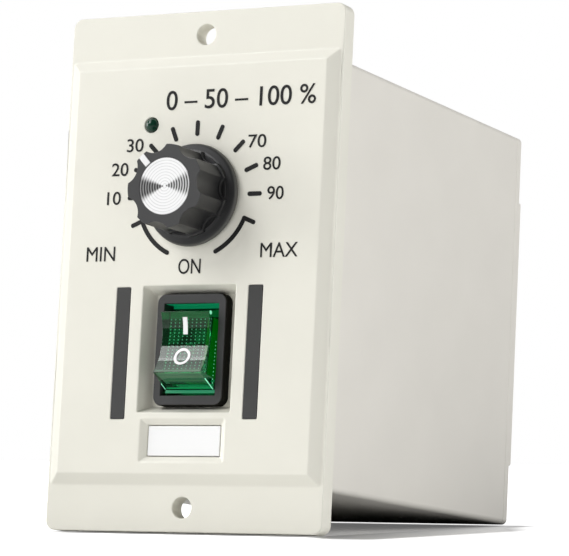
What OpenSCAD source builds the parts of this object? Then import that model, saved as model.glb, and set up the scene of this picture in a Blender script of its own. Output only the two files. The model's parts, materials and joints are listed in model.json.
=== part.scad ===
// Panel-mount speed controller for a DC motor: flanged front panel, box case, dial knob and rocker switch.
// X runs to the right seen from the front, Y runs from the front into the case, Z is up.
// The origin is the middle of the two mounting holes, on the rear (seating) face of the flange.

/* [Front panel] */
// Width of the mounting flange
panel_w = 62; // [60:0.5:70]
// Height of the mounting flange
panel_h = 104; // [102:0.5:112]
// Thickness of the flange
flange_t = 3.9; // [3.7:0.1:5]
// Radius of the flange's corners
flange_corner_r = 2; // [0.5:0.1:4]
// Distance from the flange's upper and lower edge to the middle of the mounting hole
hole_margin = 4.8; // [4:0.1:5.5]
// Diameter of the mounting holes
mount_hole_d = 4.2; // [3.2:0.1:5]
// Side margin from the flange's edge to the foot of the raised face
face_margin = 0.65; // [0.3:0.05:2]
// Height of the raised face at its foot
face_h = 85.7; // [84:0.5:88]
// How far the raised face stands in front of the flange
face_proud = 1.5; // [1:0.1:2]
// Width of the raised face's sloped edge
face_bevel = 2.2; // [1:0.1:3]
// Thickness of the panel where it is hollowed from behind
skin_t = 2.4; // [2:0.1:3]

/* [Case] */
// Width of the case
case_w = 54.2; // [53.5:0.1:58]
// Height of the case
case_h = 85.4; // [84:0.2:88]
// How far the case's middle lies below the panel's middle
case_drop = 0.3; // [0:0.1:0.6]
// Depth of the case shell, from the flange to the cover's seam
case_d = 89.7; // [88:0.5:110]
// Wall thickness of the case
wall = 2.2; // [1.8:0.1:2.6]
// Radius of the case's long edges
case_edge_r = 1.2; // [0.5:0.1:2]
// Length of the panel's lip inside the case
lip_l = 6; // [5:0.5:8]
// Thickness of the lip
lip_t = 1.6; // [1.2:0.1:2]

/* [Rear cover] */
// Thickness of the rear cover
cover_t = 2.1; // [1.8:0.1:3]
// How far the cover's middle band stands behind the rest
band_proud = 0.9; // [0.5:0.1:1.5]
// Upper edge of the middle band, above the panel's middle
band_top = 27.9; // [24:0.5:30]
// Lower edge of the middle band, below the panel's middle
band_low = 30; // [28:0.5:32]
// Side of the square corner posts that take the cover's screws
post_w = 6.4; // [6:0.2:7]
// Length of the corner posts
post_l = 20; // [12:1:30]
// Thread diameter of the cover's screws
cover_screw_d = 3; // [2.5:0.1:3.2]
// Number of vent slots in the cover
vent_count = 8; // [4:1:9]
// Width of a vent slot
vent_w = 2; // [1.2:0.1:2.4]
// Height of a vent slot
vent_h = 20; // [10:1:22]

/* [Dial] */
// Height of the dial's centre above the panel's middle
dial_z = 14.35; // [13.6:0.05:15]
// Number of tick marks
tick_count = 11; // [6:1:21]
// Angle from the first tick to the last
tick_sweep = 225; // [180:5:260]
// Inner radius of the tick marks
tick_r = 12.1; // [11.5:0.1:13]
// Length of a tick mark, end to end
tick_l = 3.35; // [2:0.05:4]
// Width of the printed lines
line_w = 0.72; // [0.4:0.02:1]
// Radius of the two arcs below the ticks
arc_r = 12.5; // [12:0.1:13.5]
// Sweep of each arc
arc_sweep = 41.5; // [20:0.5:44]
// Thickness of the printed ink
ink_t = 0.08; // [0.05:0.01:0.2]

/* [Knob] */
// Gap between the knob's skirt and the panel's face
knob_gap = 0.5; // [0.3:0.05:1]
// Height of the knob, from the skirt's rear to the front
knob_h = 11.3; // [10.8:0.1:14]
// Radius of the skirt at its rear edge
skirt_r = 10.4; // [10:0.1:11]
// Radius of the skirt at its front edge
skirt_front_r = 10.05; // [9.5:0.05:10.4]
// Thickness of the skirt at its edge
skirt_t = 1.3; // [1:0.1:1.6]
// Radius over the crests of the flutes
crest_r = 8.35; // [8.2:0.05:9]
// Number of flutes
flute_count = 7; // [6:1:8]
// Radius of one flute's hollow
flute_r = 3.42; // [3:0.02:4]
// Radius to the bottom of a flute
flute_bottom_r = 7.1; // [7:0.05:7.6]
// Angle of the pointer at rest, counter-clockwise from +X
pointer_angle = 132.5; // [90:0.5:180]
// Width of the pointer line
pointer_w = 1.25; // [0.8:0.05:1.6]
// Radius of the aluminium cap
cap_r = 5.6; // [5:0.1:5.8]
// Thickness of the aluminium cap
cap_t = 0.8; // [0.5:0.1:1]

/* [Potentiometer] */
// Diameter of the shaft
shaft_d = 6; // [5.8:0.05:6.35]
// Outer diameter of the threaded bush
bush_d = 7; // [6.9:0.1:8]
// Length of the bush in front of the panel's rear skin
bush_l = 6.8; // [6:0.1:7.2]
// Width across the flats of the nut
nut_af = 10; // [9.5:0.1:10.4]
// Thickness of the nut
nut_t = 2; // [1.5:0.1:2.2]
// Thickness of the washer
washer_t = 0.5; // [0.4:0.05:0.6]
// Radius of the can
can_r = 8.2; // [8:0.1:9]
// Depth of the can
can_d = 5.4; // [5:0.1:8]

/* [Lamp] */
// Side position of the lamp
lamp_x = -10.6; // [-13:0.1:-10]
// Height of the lamp above the panel's middle
lamp_z = 29; // [28:0.1:31]
// Diameter of the lamp's lens
lamp_d = 3; // [2.8:0.1:3.4]
// How far the lens stands in front of the face
lamp_proud = 0.9; // [0.5:0.1:1.4]

/* [Switch] */
// Height of the switch's middle, below the panel's middle when negative
switch_z = -16.03; // [-16.3:0.01:-15.5]
// Width of the pocket's mouth
pocket_w = 20.9; // [20:0.1:22]
// Height of the pocket's mouth
pocket_h = 25.25; // [25.25:0.05:26]
// How much narrower the pocket is at its floor, on each side
pocket_taper_x = 1.15; // [0.5:0.05:1.3]
// How much lower the pocket is at its floor, above and below
pocket_taper_z = 1.42; // [0.8:0.02:1.42]
// Depth of the pocket
pocket_d = 3.95; // [3.5:0.05:4.3]
// Width of the bezel
bezel_w = 15.72; // [15.4:0.02:17]
// Height of the bezel
bezel_h = 22.28; // [21.8:0.02:22.3]
// Height of the bezel above the pocket's floor
bezel_t = 2.65; // [2:0.05:3]
// Corner radius of the bezel
bezel_r = 1.9; // [1:0.1:3]
// Width of the bezel's window
window_w = 12.3; // [12:0.1:12.6]
// Height of the bezel's window
window_h = 18.25; // [18.2:0.05:18.6]
// Depth of the switch housing behind the pocket's floor
housing_d = 13.4; // [13:0.1:15]
// Width of the rocker's head
head_w = 10.7; // [10:0.1:11]
// Radius of the dish in the rocker's head
dish_r = 11.4; // [11:0.1:14]
// Height of the rocker's head at its front edges
head_h = 12.4; // [12:0.1:12.6]
// Distance from the pivot to the head's front edges
head_reach = 6.95; // [6.5:0.05:7.2]
// Angle that the rocker leans each way from level
rocker_tilt = 8.7; // [7:0.1:9]
// Turn of the contact blade for one degree of the rocker
blade_turn_share = 0.8; // [0.6:0.05:0.8]

/* [Bars and plate] */
// Side position of each dark bar's middle
bar_x = 14.87; // [14:0.1:16]
// Height of the bars' middle
bar_z = -16.81; // [-18:0.1:-15]
// Width of a dark bar
bar_w = 3.05; // [2:0.05:3.4]
// Height of a dark bar
bar_h = 26.18; // [20:0.1:28]
// Height of the plate pocket's middle
plate_z = -34.15; // [-34.4:0.05:-33.9]
// Width of the plate pocket's mouth
plate_pocket_w = 19.1; // [18:0.1:21]
// Height of the plate pocket's mouth
plate_pocket_h = 8.6; // [8:0.1:8.8]
// Depth of the plate below the face
plate_sink = 1; // [0.6:0.1:1.4]
// Width of the plate
plate_w = 16.14; // [15:0.1:17]
// Height of the plate
plate_h = 5.9; // [5:0.1:6.4]
// Thickness of the plate
plate_t = 1; // [0.8:0.1:1.4]

/* [Boards] */
// Depth of the control board behind the flange
board_y = 19; // [18.4:0.2:22]
// Thickness of the boards
board_t = 1.6; // [1.2:0.1:1.7]
// Height of the power board's top, below the panel's middle when negative
power_z = -26; // [-27:0.1:-25.4]
// Radius of the large capacitor, as a share of the board's length in front of the terminals
cap_can_r_share = 0.134; // [0.1:0.002:0.14]
// Height of the large capacitor
cap_can_h = 28; // [20:1:35]
// Height of the heat sink
sink_h = 36; // [30:1:45]

/* [Terminal block] */
// Number of terminals
pole_count = 5; // [3:1:5]
// Distance between terminals
pole_pitch = 7.62; // [7.3:0.01:7.7]
// Thickness of a barrier
barrier_t = 1.2; // [0.8:0.1:1.6]
// Height of the block
block_h = 14; // [13:0.5:16]
// How far the barriers stand behind the cover's middle band
block_proud = 7; // [6.5:0.5:10]
// Thread diameter of the terminal screws
terminal_screw_d = 3; // [2.5:0.1:3.2]

/* [Hidden] */
$fn = 64;

// Fits
slip = 0.15;
running = 0.05;
touch_gap = 0.3;
cut = 1;

// Mounting holes
hole_pitch = panel_h - 2 * hole_margin;

// Planes from front to back
face_y = -flange_t - face_proud;
skin_y = face_y + skin_t;
pocket_y = face_y + pocket_d;
cover_y = case_d + cover_t;
band_y = cover_y + band_proud;

// Insides of the case
inner_w = case_w - 2 * wall;
inner_h = case_h - 2 * wall;
lip_w = inner_w - 2 * slip;
lip_h = inner_h - 2 * slip;
hollow_w = lip_w - 2 * lip_t;
hollow_h = lip_h - 2 * lip_t;
ridge_t = 0.4;
ridge_l = 1;
ridge_y = lip_l - 2 * ridge_l;
ridge_share = 0.5;
seat_d = 0.6;

// Bosses and board screws
boss_r = 3.2;
boss_inset = 5.8;
boss_x = inner_w / 2 - boss_inset;
boss_z = inner_h / 2 - boss_inset;
board_screw_r = 1.45;
board_screw_l = 8;
screw_head_r = 2.8;
screw_head_t = 1.8;
slot_w = 0.7;
slot_d = 0.6;

// Hollows behind the panel's skin
rib_t = 2;
upper_hollow_z = switch_z + pocket_h / 2 + rib_t;
side_hollow_x = pocket_w / 2 + rib_t;

// Rear cover
lip_tongue_w = case_w - 2 * wall - 2 * post_w - 4 * slip;
lip_tongue_h = case_h - 2 * wall - 2 * post_w - 4 * slip;
tongue_l = 4;
post_x = inner_w / 2 - post_w / 2;
post_z = inner_h / 2 - post_w / 2;
cover_screw_r = cover_screw_d / 2;
cover_screw_l = 10;
cover_head_r = 2.75;
cover_head_t = 1.6;
cover_sink = 1;
vent_pitch = 4.6;
vent_z = band_top - vent_h / 2 - rib_t;

// Dial and knob
knob_y = face_y - knob_gap;
knob_front = knob_y - knob_h;
skirt_rise = 0.7;
flute_y = knob_y - skirt_t - skirt_rise;
washer_r = 6;
nut_r = nut_af / 2 / cos(30);
nut_room_r = nut_r + 2 * slip;
nut_room_y = face_y - washer_t - nut_t - touch_gap;
bush_end = skin_y - bush_l;
bush_room_r = bush_d / 2 + 2 * slip;
bush_room_y = bush_end - touch_gap;
shaft_r = shaft_d / 2;
shaft_stop = 0.8;
bore_end = knob_front + cap_t + shaft_stop;
shaft_end = bore_end + touch_gap;
flat_depth = 1.4;
flat_end = bush_room_y - touch_gap;
grub_r = 1.5;
grub_l = 4.2;
grub_y = (bore_end + bush_room_y) / 2;
hex_r = 0.9;
hex_d = 1.6;
pointer_t = 0.5;

// Potentiometer
bush_plate_t = 1;
track_t = 1.2;
track_y = skin_y + bush_plate_t;
can_y = track_y + track_t;
can_t = 0.6;
track_hole_r = shaft_r + touch_gap;
tail_w = 13;
tail_l = 3.6;
wiper_t = 1.4;
wiper_y = can_y + 1.2;
wiper_r = can_r - can_t - 2 * touch_gap;
shaft_rear = wiper_y + wiper_t + touch_gap;
lead_r = 0.35;
lead_pitch = 5;
lead_z = dial_z - can_r - tail_l / 2;
lead_tail = 1;
lead_end = board_y + board_t + lead_tail;
lead_hole_r = lead_r + slip;

// Lamp
lamp_r = lamp_d / 2;
lamp_flange_r = lamp_r + 0.4 * lamp_r;
lamp_flange_t = 1;
lamp_pitch = 2.54;

// Switch
snap_t = 0.6;
snap_l = 3;
snap_w = 8;
housing_wall = 0.65;
housing_w = window_w + 2 * housing_wall;
housing_h = window_h + 2 * housing_wall;
cutout_w = housing_w + 2 * slip;
cutout_h = housing_h + 2 * slip;
housing_y = pocket_y + housing_d;
housing_back_t = 1.2;
back_y = housing_y - housing_back_t;
bezel_y = pocket_y - bezel_t;
bezel_chamfer = 0.35;
pivot_depth = 3.2;
pivot_y = bezel_y + pivot_depth;
rocker_side_gap = 0.25;
rocker_end_gap = 0.17;
skirt_w = window_w - 2 * rocker_side_gap;
rocker_skirt_r = window_h / 2 - rocker_end_gap;
shoulder_reach = 1.1;
shoulder_h = 16.3;
rocker_rear = 2;
dish_depth = dish_r - sqrt(pow(dish_r, 2) - pow(head_h / 2, 2));
dish_floor = head_reach - dish_depth;
dish_axis = dish_floor + dish_r;
rocker_wall = 1.2;
rocker_room_w = 8.4;
rocker_room_h = 12;
trunnion_r = 1.1;
trunnion_span = housing_w - 2 * running;
plunger_boss_r = 2;
plunger_r = 1.15;
plunger_reach = 7;
plunger_room_r = plunger_r + running;
boss_end = 4;
bore_reach = 1.6;
spring_r = 1.05;
spring_wire = 0.3;
mark_t = 0.12;
bar_mark_w = 1;
bar_mark_h = 3.2;
bar_mark_z = 3.55;
ring_mark_r = 1.8;
ring_mark_w = 0.55;
ring_mark_z = -2.65;
blade_t = 0.5;
blade_w = 3.8;
blade_l = 12.4;
blade_gap = 0.1;
blade_y = pivot_y + plunger_reach + blade_gap + blade_t / 2;
contact_r = 1.2;
contact_t = 0.5;
contact_z = 5;
blade_lean = rocker_tilt * blade_turn_share;
contact_y = blade_y + blade_t / 2 + contact_t + (contact_z + contact_r) * sin(blade_lean) + blade_gap;
stop_y = blade_y + blade_t / 2 + blade_l / 2 * sin(blade_lean) + blade_gap;
fulcrum_r = 0.4;
tab_t = 0.8;
tab_w = 4.8;
tab_tail = 1.3;
tab_end = board_y + board_t + tab_tail;
tab_gap = 0.1;
rocker_lamp_x = 4.2;
rocker_lamp_z = 4.2;
rocker_lamp_r = 1.5;
rocker_lamp_l = 4;
rocker_lamp_rise = 3.6;
rocker_lamp_y = pivot_y + rocker_lamp_rise;
rocker_lamp_base = rocker_lamp_y + rocker_lamp_l;
pillar_r = 1.7;
rocker_lamp_pitch = 1.6;

// Bars
bar_t = 0.5;

// Boards
board_gap = 0.5;
board_w = inner_w - 2 * board_gap;
board_h = inner_h - 2 * board_gap;
rail_t = 1.5;
rail_proud = 1.4;
rail_clear = 0.1;
power_w = inner_w - 4 * rail_clear;
power_y = board_y + board_t + board_gap;
power_end = case_d - tongue_l - board_gap;
power_low = power_z - board_t;
rail_lead = 5;
rail_start = power_y + rail_lead;
block_inset = 9;
block_y = case_d - block_inset;
room_l = block_y - power_y;
rail_end = power_end - board_gap;
header_w = 20.32;
header_h = 2.54;
header_d = 3.4;
pin_pitch = 2.54;
pin_count = 8;
pin_w = 0.64;
pin_tail = 1.2;
pin_z = power_z + header_h / 2;
pin_drop_y = power_y - board_gap + header_d - pin_w;
chip_w = 19;
chip_h = 6.4;
chip_t = 3.4;
chip_z = 14;
chip_leg_count = 7;
chip_leg_w = 0.5;
chip_leg_t = 0.3;
resistor_w_share = 0.4;
resistor_w = inner_w * resistor_w_share;
resistor_x_share = 0.05;
resistor_x = inner_w * resistor_x_share;
resistor_h = 9;
resistor_t = 9;
resistor_z = 30;
resistor_lead_r = 0.4;

// Heat sink and devices
sink_x_share = -0.231;
sink_x = inner_w * sink_x_share;
sink_base_t = 2.6;
sink_y_share = 0.183;
sink_y = power_y + room_l * sink_y_share;
sink_l_share = 0.705;
sink_l = room_l * sink_l_share;
fin_count = 7;
fin_t = 1.3;
fin_l_share = 0.161;
fin_l = inner_w * fin_l_share;
device_count = 4;
device_pitch = sink_l / device_count;
tab_plate_w_share = 0.914;
tab_plate_w = device_pitch * tab_plate_w_share;
tab_plate_h = 15.4;
tab_plate_t = 1.3;
device_h = 9;
device_t = 3.2;
device_lift = 6;
device_leg_w = 0.8;
device_leg_t = 0.6;
device_leg_pitch = 2.54;
device_screw_r = 1.4;
device_screw_l = 3.4;
device_head_r = 2.6;
device_head_t = 1.6;
device_hole_drop = 2.8;
device_hole_z = device_lift + tab_plate_h - device_hole_drop;

// Parts on the power board
cap_can_r = room_l * cap_can_r_share;
cap_can_x_share = 0.261;
cap_can_x = inner_w * cap_can_x_share;
cap_can_y_share = 0.25;
cap_can_y = power_y + room_l * cap_can_y_share;
cap_groove_d = 0.6;
cap_groove_w = 1;
cap_groove_z = 4;
pin_r = 0.4;
film_x_share = -0.04;
film_x = inner_w * film_x_share;
film_y_share = 0.267;
film_y = power_y + room_l * film_y_share;
film_w_share = 0.12;
film_w = inner_w * film_w_share;
film_l_share = 0.302;
film_l = room_l * film_l_share;
film_h = 12;
core_x_share = 0.211;
core_x = inner_w * core_x_share;
core_y_share = 0.77;
core_y = power_y + room_l * core_y_share;
core_w_share = 0.442;
core_w = inner_w * core_w_share;
core_l_share = 0.168;
core_l = room_l * core_l_share;
core_h = 20;
core_leg = 4;
coil_l_share = 0.285;
coil_l = room_l * coil_l_share;
coil_lift = 1;
coil_pin_x = (core_w - 2 * core_leg - 2 * slip) / 3;
coil_pin_y = coil_l / 2 - 2 * pin_r;
fuse_x_share = 0.181;
fuse_x = inner_w * fuse_x_share;
fuse_y_share = 0.493;
fuse_y = power_y + room_l * fuse_y_share;
fuse_l_share = 0.402;
fuse_l = inner_w * fuse_l_share;
fuse_r = 2.6;
fuse_cap_l = 5;
fuse_lift = 4.4;
clip_t = 0.4;
clip_l = 4.4;

// Terminal block
block_w = pole_count * pole_pitch + barrier_t;
block_back = band_y + block_proud;
block_base = 7;
bay_sill = 2;
bay_y = band_y + bay_sill;
bay_w = pole_pitch - barrier_t;
block_low = power_z;
block_mid = block_low + block_h / 2;
strip_t = 0.8;
strip_w = 5.6;
strip_h = 9;
tang_w = 2;
tang_t = 0.8;
tang_inset = 3;
tang_y = block_y + tang_inset;
clamp_t = 0.8;
clamp_w = 5.8;
terminal_r = terminal_screw_d / 2;
terminal_screw_l = 6;
terminal_head_r = 2.7;
terminal_head_t = 1.8;

// Shapes drawn in one plane and run along one axis
module along_x(x0, x1) {
  translate([x0, 0, 0]) rotate([90, 0, 90]) linear_extrude(x1 - x0) children();
}

module along_y(y0, y1) {
  translate([0, y1, 0]) rotate([90, 0, 0]) linear_extrude(y1 - y0) children();
}

module along_z(z0, z1) {
  translate([0, 0, z0]) linear_extrude(z1 - z0) children();
}

module rod_x(r, x0, x1) {
  translate([x0, 0, 0]) rotate([0, 90, 0]) cylinder(r = r, h = x1 - x0);
}

module rod_y(r, y0, y1) {
  translate([0, y1, 0]) rotate([90, 0, 0]) cylinder(r = r, h = y1 - y0);
}

module rod_z(r, z0, z1) {
  translate([0, 0, z0]) cylinder(r = r, h = z1 - z0);
}

module tube_y(outer, inner, y0, y1) {
  difference() {
    rod_y(outer, y0, y1);
    rod_y(inner, y0 - cut, y1 + cut);
  }
}

module block(low, high) {
  translate(low) cube(high - low);
}

// A rectangular hole along Y that lets a pin of w by h slip through
module slot_y(w, h, y0, y1) {
  block([-w / 2 - slip, y0, -h / 2 - slip], [w / 2 + slip, y1, h / 2 + slip]);
}

// The same along Z, for a pin of w by d
module slot_z(w, d, z0, z1) {
  block([-w / 2 - slip, -d / 2 - slip, z0], [w / 2 + slip, d / 2 + slip, z1]);
}

module rounded_rect(w, h, r) {
  square([w - 2 * r, h], center = true);
  square([w, h - 2 * r], center = true);
  for (sx = [-1, 1], sz = [-1, 1])
    translate([sx * (w / 2 - r), sz * (h / 2 - r)]) circle(r);
}

// A block whose sides slope evenly from a front rectangle [w, h] to a back one
module tapered_block(front, back, y0, y1) {
  reach_x = max(front.x, back.x) / 2;
  reach_z = max(front.y, back.y) / 2;
  intersection() {
    along_z(-reach_z, reach_z) polygon([
      [-front.x / 2, y0], [front.x / 2, y0], [back.x / 2, y1], [-back.x / 2, y1]
    ]);
    along_x(-reach_x, reach_x) polygon([
      [y0, -front.y / 2], [y0, front.y / 2], [y1, back.y / 2], [y1, -back.y / 2]
    ]);
  }
}

// The same slopes, run on past the front rectangle so that they cut cleanly
module tapered_cut(front, back, y0, y1) {
  slope = (front - back) / (y1 - y0);
  tapered_block(front + slope * cut, back, y0 - cut, y1);
}

module at_bosses() {
  for (sx = [-1, 1], sz = [-1, 1])
    translate([sx * boss_x, 0, sz * boss_z - case_drop]) children();
}

module at_posts() {
  for (sx = [-1, 1], sz = [-1, 1])
    translate([sx * post_x, 0, sz * post_z - case_drop]) children();
}

// A pan-head screw along Y, its head's seat at y = 0 and its shank towards -Y
module pan_screw(shank_r, shank_l, head_r, head_t) {
  difference() {
    union() {
      rod_y(shank_r, -shank_l, 0);
      rod_y(head_r, 0, head_t);
    }
    for (turn = [0, 90])
      rotate([0, turn, 0])
        block([-head_r * 0.7, head_t - slot_d, -slot_w / 2], [head_r * 0.7, head_t + cut, slot_w / 2]);
  }
}

module panel_plate() {
  face_w = panel_w - 2 * face_margin;
  difference() {
    union() {
      along_y(-flange_t, 0) rounded_rect(panel_w, panel_h, flange_corner_r);
      tapered_block([face_w - 2 * face_bevel, face_h - 2 * face_bevel], [face_w, face_h], face_y, -flange_t);
    }
    // hollow behind the dial
    block([-hollow_w / 2, skin_y, upper_hollow_z], [hollow_w / 2, cut, hollow_h / 2 - case_drop]);
    // hollows beside the switch
    for (side = [0, 1]) mirror([side, 0, 0])
      block([side_hollow_x, skin_y, -hollow_h / 2 - case_drop], [hollow_w / 2, cut, upper_hollow_z - rib_t]);
  }
}

// The lip that enters the case, with its snap ridges
module panel_lip() {
  translate([0, 0, -case_drop]) {
    difference() {
      along_y(0, lip_l) square([lip_w, lip_h], center = true);
      along_y(-cut, lip_l + cut) square([hollow_w, hollow_h], center = true);
    }
    difference() {
      union() {
        block([-lip_w / 2 - ridge_t, ridge_y, -lip_h * ridge_share / 2],
          [lip_w / 2 + ridge_t, ridge_y + ridge_l, lip_h * ridge_share / 2]);
        block([-lip_w * ridge_share / 2, ridge_y, -lip_h / 2 - ridge_t],
          [lip_w * ridge_share / 2, ridge_y + ridge_l, lip_h / 2 + ridge_t]);
      }
      along_y(ridge_y - cut, lip_l + cut) square([hollow_w, hollow_h], center = true);
    }
  }
}

module front_panel() {
  color("ivory") difference() {
    union() {
      panel_plate();
      panel_lip();
      at_bosses() rod_y(boss_r, skin_y, board_y);
    }
    // the shallow rebate that the case's front edge enters
    translate([0, 0, -case_drop]) difference() {
      along_y(-seat_d, cut) rounded_rect(case_w + 2 * slip, case_h + 2 * slip, case_edge_r + slip);
      along_y(-seat_d - cut, 2 * cut) square([lip_w, lip_h], center = true);
    }
    at_bosses() rod_y(board_screw_r + running, board_y - board_screw_l, board_y + cut);
    for (side = [-1, 1])
      translate([0, 0, side * hole_pitch / 2]) rod_y(mount_hole_d / 2, -flange_t - cut, cut);
    translate([0, 0, dial_z]) rod_y(bush_d / 2 + slip, face_y - cut, skin_y + cut);
    translate([lamp_x, 0, lamp_z]) rod_y(lamp_r + running, face_y - cut, skin_y + cut);
    translate([0, 0, switch_z]) {
      tapered_cut([pocket_w, pocket_h], [pocket_w - 2 * pocket_taper_x, pocket_h - 2 * pocket_taper_z],
        face_y, pocket_y);
      along_y(pocket_y - cut, cut) square([cutout_w, cutout_h], center = true);
    }
    translate([0, 0, plate_z]) {
      tapered_cut([plate_pocket_w, plate_pocket_h], [plate_w + 2 * slip, plate_h + 2 * slip],
        face_y, face_y + plate_sink);
      along_y(face_y, face_y + plate_sink + plate_t)
        square([plate_w + 2 * slip, plate_h + 2 * slip], center = true);
    }
    for (side = [-1, 1]) translate([side * bar_x, 0, bar_z])
      along_y(face_y - cut, face_y + bar_t) square([bar_w + 2 * running, bar_h + 2 * running], center = true);
  }
}

module case_rails() {
  for (side = [0, 1]) mirror([side, 0, 0])
    for (z = [power_z + rail_clear, power_low - rail_clear - rail_t])
      block([inner_w / 2 - rail_proud, rail_start, z], [inner_w / 2 + wall / 2, rail_end, z + rail_t]);
}

module case_shell() {
  groove = ridge_t + slip;
  color("ivory") difference() {
    union() {
      translate([0, 0, -case_drop]) difference() {
        along_y(-seat_d, case_d) rounded_rect(case_w, case_h, case_edge_r);
        along_y(-seat_d - cut, case_d + cut) square([inner_w, inner_h], center = true);
        // grooves for the lip's ridges
        block([-inner_w / 2 - groove, ridge_y - slip, -lip_h * ridge_share / 2 - slip],
          [inner_w / 2 + groove, ridge_y + ridge_l + slip, lip_h * ridge_share / 2 + slip]);
        block([-lip_w * ridge_share / 2 - slip, ridge_y - slip, -inner_h / 2 - groove],
          [lip_w * ridge_share / 2 + slip, ridge_y + ridge_l + slip, inner_h / 2 + groove]);
      }
      at_posts() block([-post_w / 2, case_d - post_l, -post_w / 2], [post_w / 2, case_d, post_w / 2]);
      case_rails();
    }
    at_posts() rod_y(cover_screw_r + running, case_d - cover_screw_l - 2 * touch_gap, case_d + cut);
  }
}

module rear_cover() {
  color("ivory") difference() {
    union() {
      translate([0, 0, -case_drop]) {
        along_y(case_d, cover_y) rounded_rect(case_w, case_h, case_edge_r);
        // tongues that centre the cover in the case
        for (side = [0, 1]) mirror([side, 0, 0])
          block([inner_w / 2 - slip - lip_t, case_d - tongue_l, -lip_tongue_h / 2],
            [inner_w / 2 - slip, case_d, lip_tongue_h / 2]);
        for (side = [0, 1]) mirror([0, 0, side])
          block([-lip_tongue_w / 2, case_d - tongue_l, inner_h / 2 - slip - lip_t],
            [lip_tongue_w / 2, case_d, inner_h / 2 - slip]);
      }
      block([-case_w / 2, case_d, -band_low], [case_w / 2, band_y, band_top]);
    }
    at_posts() {
      rod_y(cover_screw_r + slip, case_d - cut, cover_y + cut);
      rod_y(cover_head_r + slip, cover_y - cover_sink, cover_y + cut);
    }
    block([-block_w / 2 - slip, case_d - cut, block_low - slip],
      [block_w / 2 + slip, band_y + cut, block_low + block_h + slip]);
    for (i = [0 : vent_count - 1])
      translate([(i - (vent_count - 1) / 2) * vent_pitch, 0, vent_z])
        along_y(case_d - cut, band_y + cut) rounded_rect(vent_w, vent_h, vent_w * 0.45);
  }
}

module rear_cover_screws() {
  color("silver") at_posts() translate([0, cover_y - cover_sink, 0])
    pan_screw(cover_screw_r, cover_screw_l, cover_head_r, cover_head_t);
}

module blank_plate() {
  color("white") translate([0, 0, plate_z])
    along_y(face_y + plate_sink, face_y + plate_sink + plate_t) rounded_rect(plate_w, plate_h, slip);
}

module panel_bars() {
  color("dimgray") for (side = [-1, 1]) translate([side * bar_x, 0, bar_z])
    along_y(face_y, face_y + bar_t) square([bar_w, bar_h], center = true);
}

// One tick mark with round ends, lying along +X from its inner end
module tick_mark() {
  translate([line_w / 2, -line_w / 2]) square([tick_l - line_w, line_w]);
  for (x = [line_w / 2, tick_l - line_w / 2]) translate([x, 0]) circle(line_w / 2);
}

// One arc with round ends, drawn counter-clockwise from +X
module arc_mark() {
  rotate_extrude(angle = arc_sweep) translate([arc_r - line_w / 2, 0]) square([line_w, ink_t]);
  for (turn = [0, arc_sweep]) rotate([0, 0, turn])
    translate([arc_r, 0, 0]) cylinder(r = line_w / 2, h = ink_t);
}

module dial_scale() {
  first = 90 + tick_sweep / 2;
  color("black") translate([0, face_y, dial_z]) rotate([90, 0, 0]) {
    for (i = [0 : tick_count - 1])
      rotate([0, 0, first - i * tick_sweep / (tick_count - 1)])
        translate([tick_r, 0, 0]) linear_extrude(ink_t) tick_mark();
    rotate([0, 0, 90 - tick_sweep / 2 - arc_sweep]) arc_mark();
    rotate([0, 0, first]) arc_mark();
  }
}

module indicator_lamp() {
  color("darkgreen") translate([lamp_x, 0, lamp_z]) {
    translate([0, face_y - lamp_proud + lamp_r, 0]) intersection() {
      sphere(lamp_r);
      rod_y(lamp_r + cut, -lamp_r - cut, 0);
    }
    rod_y(lamp_r, face_y - lamp_proud + lamp_r, skin_y);
    rod_y(lamp_flange_r, skin_y, skin_y + lamp_flange_t);
  }
}

module lamp_leads() {
  color("silver") for (side = [-1, 1])
    translate([lamp_x + side * lamp_pitch / 2, 0, lamp_z]) rod_y(lead_r, skin_y + lamp_flange_t, lead_end);
}

module at_knob() {
  translate([0, 0, dial_z]) rotate([0, -pointer_angle, 0]) children();
}

module knob_profile() {
  rotate([90, 0, 0]) rotate_extrude() polygon([
    [0, -knob_y], [skirt_r, -knob_y], [skirt_front_r, skirt_t - knob_y],
    [flute_bottom_r, -flute_y], [0, -flute_y]
  ]);
}

// The knob's moulding, drawn with its pointer along +X
module knob_body() {
  color("#3c3d40") at_knob() difference() {
    union() {
      knob_profile();
      difference() {
        rod_y(crest_r, knob_front, flute_y + skirt_rise);
        for (i = [0 : flute_count - 1]) rotate([0, (i + 0.5) * 360 / flute_count, 0])
          translate([flute_bottom_r + flute_r, 0, 0]) rod_y(flute_r, knob_front - cut, flute_y);
      }
    }
    rod_y(nut_room_r, nut_room_y, knob_y + cut);
    rod_y(washer_r + 2 * slip, face_y - washer_t - touch_gap, knob_y + cut);
    rod_y(bush_room_r, bush_room_y, knob_y);
    rod_y(shaft_r + running, bore_end, knob_y);
    rod_y(cap_r + running, knob_front - cut, knob_front + cap_t);
    block([cap_r + 2 * slip - running, knob_front - cut, -pointer_w / 2 - running],
      [crest_r + cut, knob_front + pointer_t, pointer_w / 2 + running]);
    translate([0, grub_y, 0]) rod_x(grub_r + running, 0, crest_r + cut);
  }
}

module knob_cap() {
  color("gainsboro") at_knob() rod_y(cap_r, knob_front, knob_front + cap_t);
}

module knob_pointer() {
  color("white") at_knob() intersection() {
    block([cap_r + 2 * slip, knob_front, -pointer_w / 2],
      [crest_r + cut, knob_front + pointer_t, pointer_w / 2]);
    rod_y(crest_r, knob_front - cut, flute_y);
  }
}

module knob_grub_screw() {
  seat = shaft_r - flat_depth;
  color("gray") at_knob() translate([0, grub_y, 0]) difference() {
    rod_x(grub_r, seat + running, seat + running + grub_l);
    translate([seat + grub_l - hex_d, 0, 0]) rotate([0, 90, 0]) cylinder(r = hex_r, h = hex_d + cut, $fn = 6);
  }
}

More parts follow.
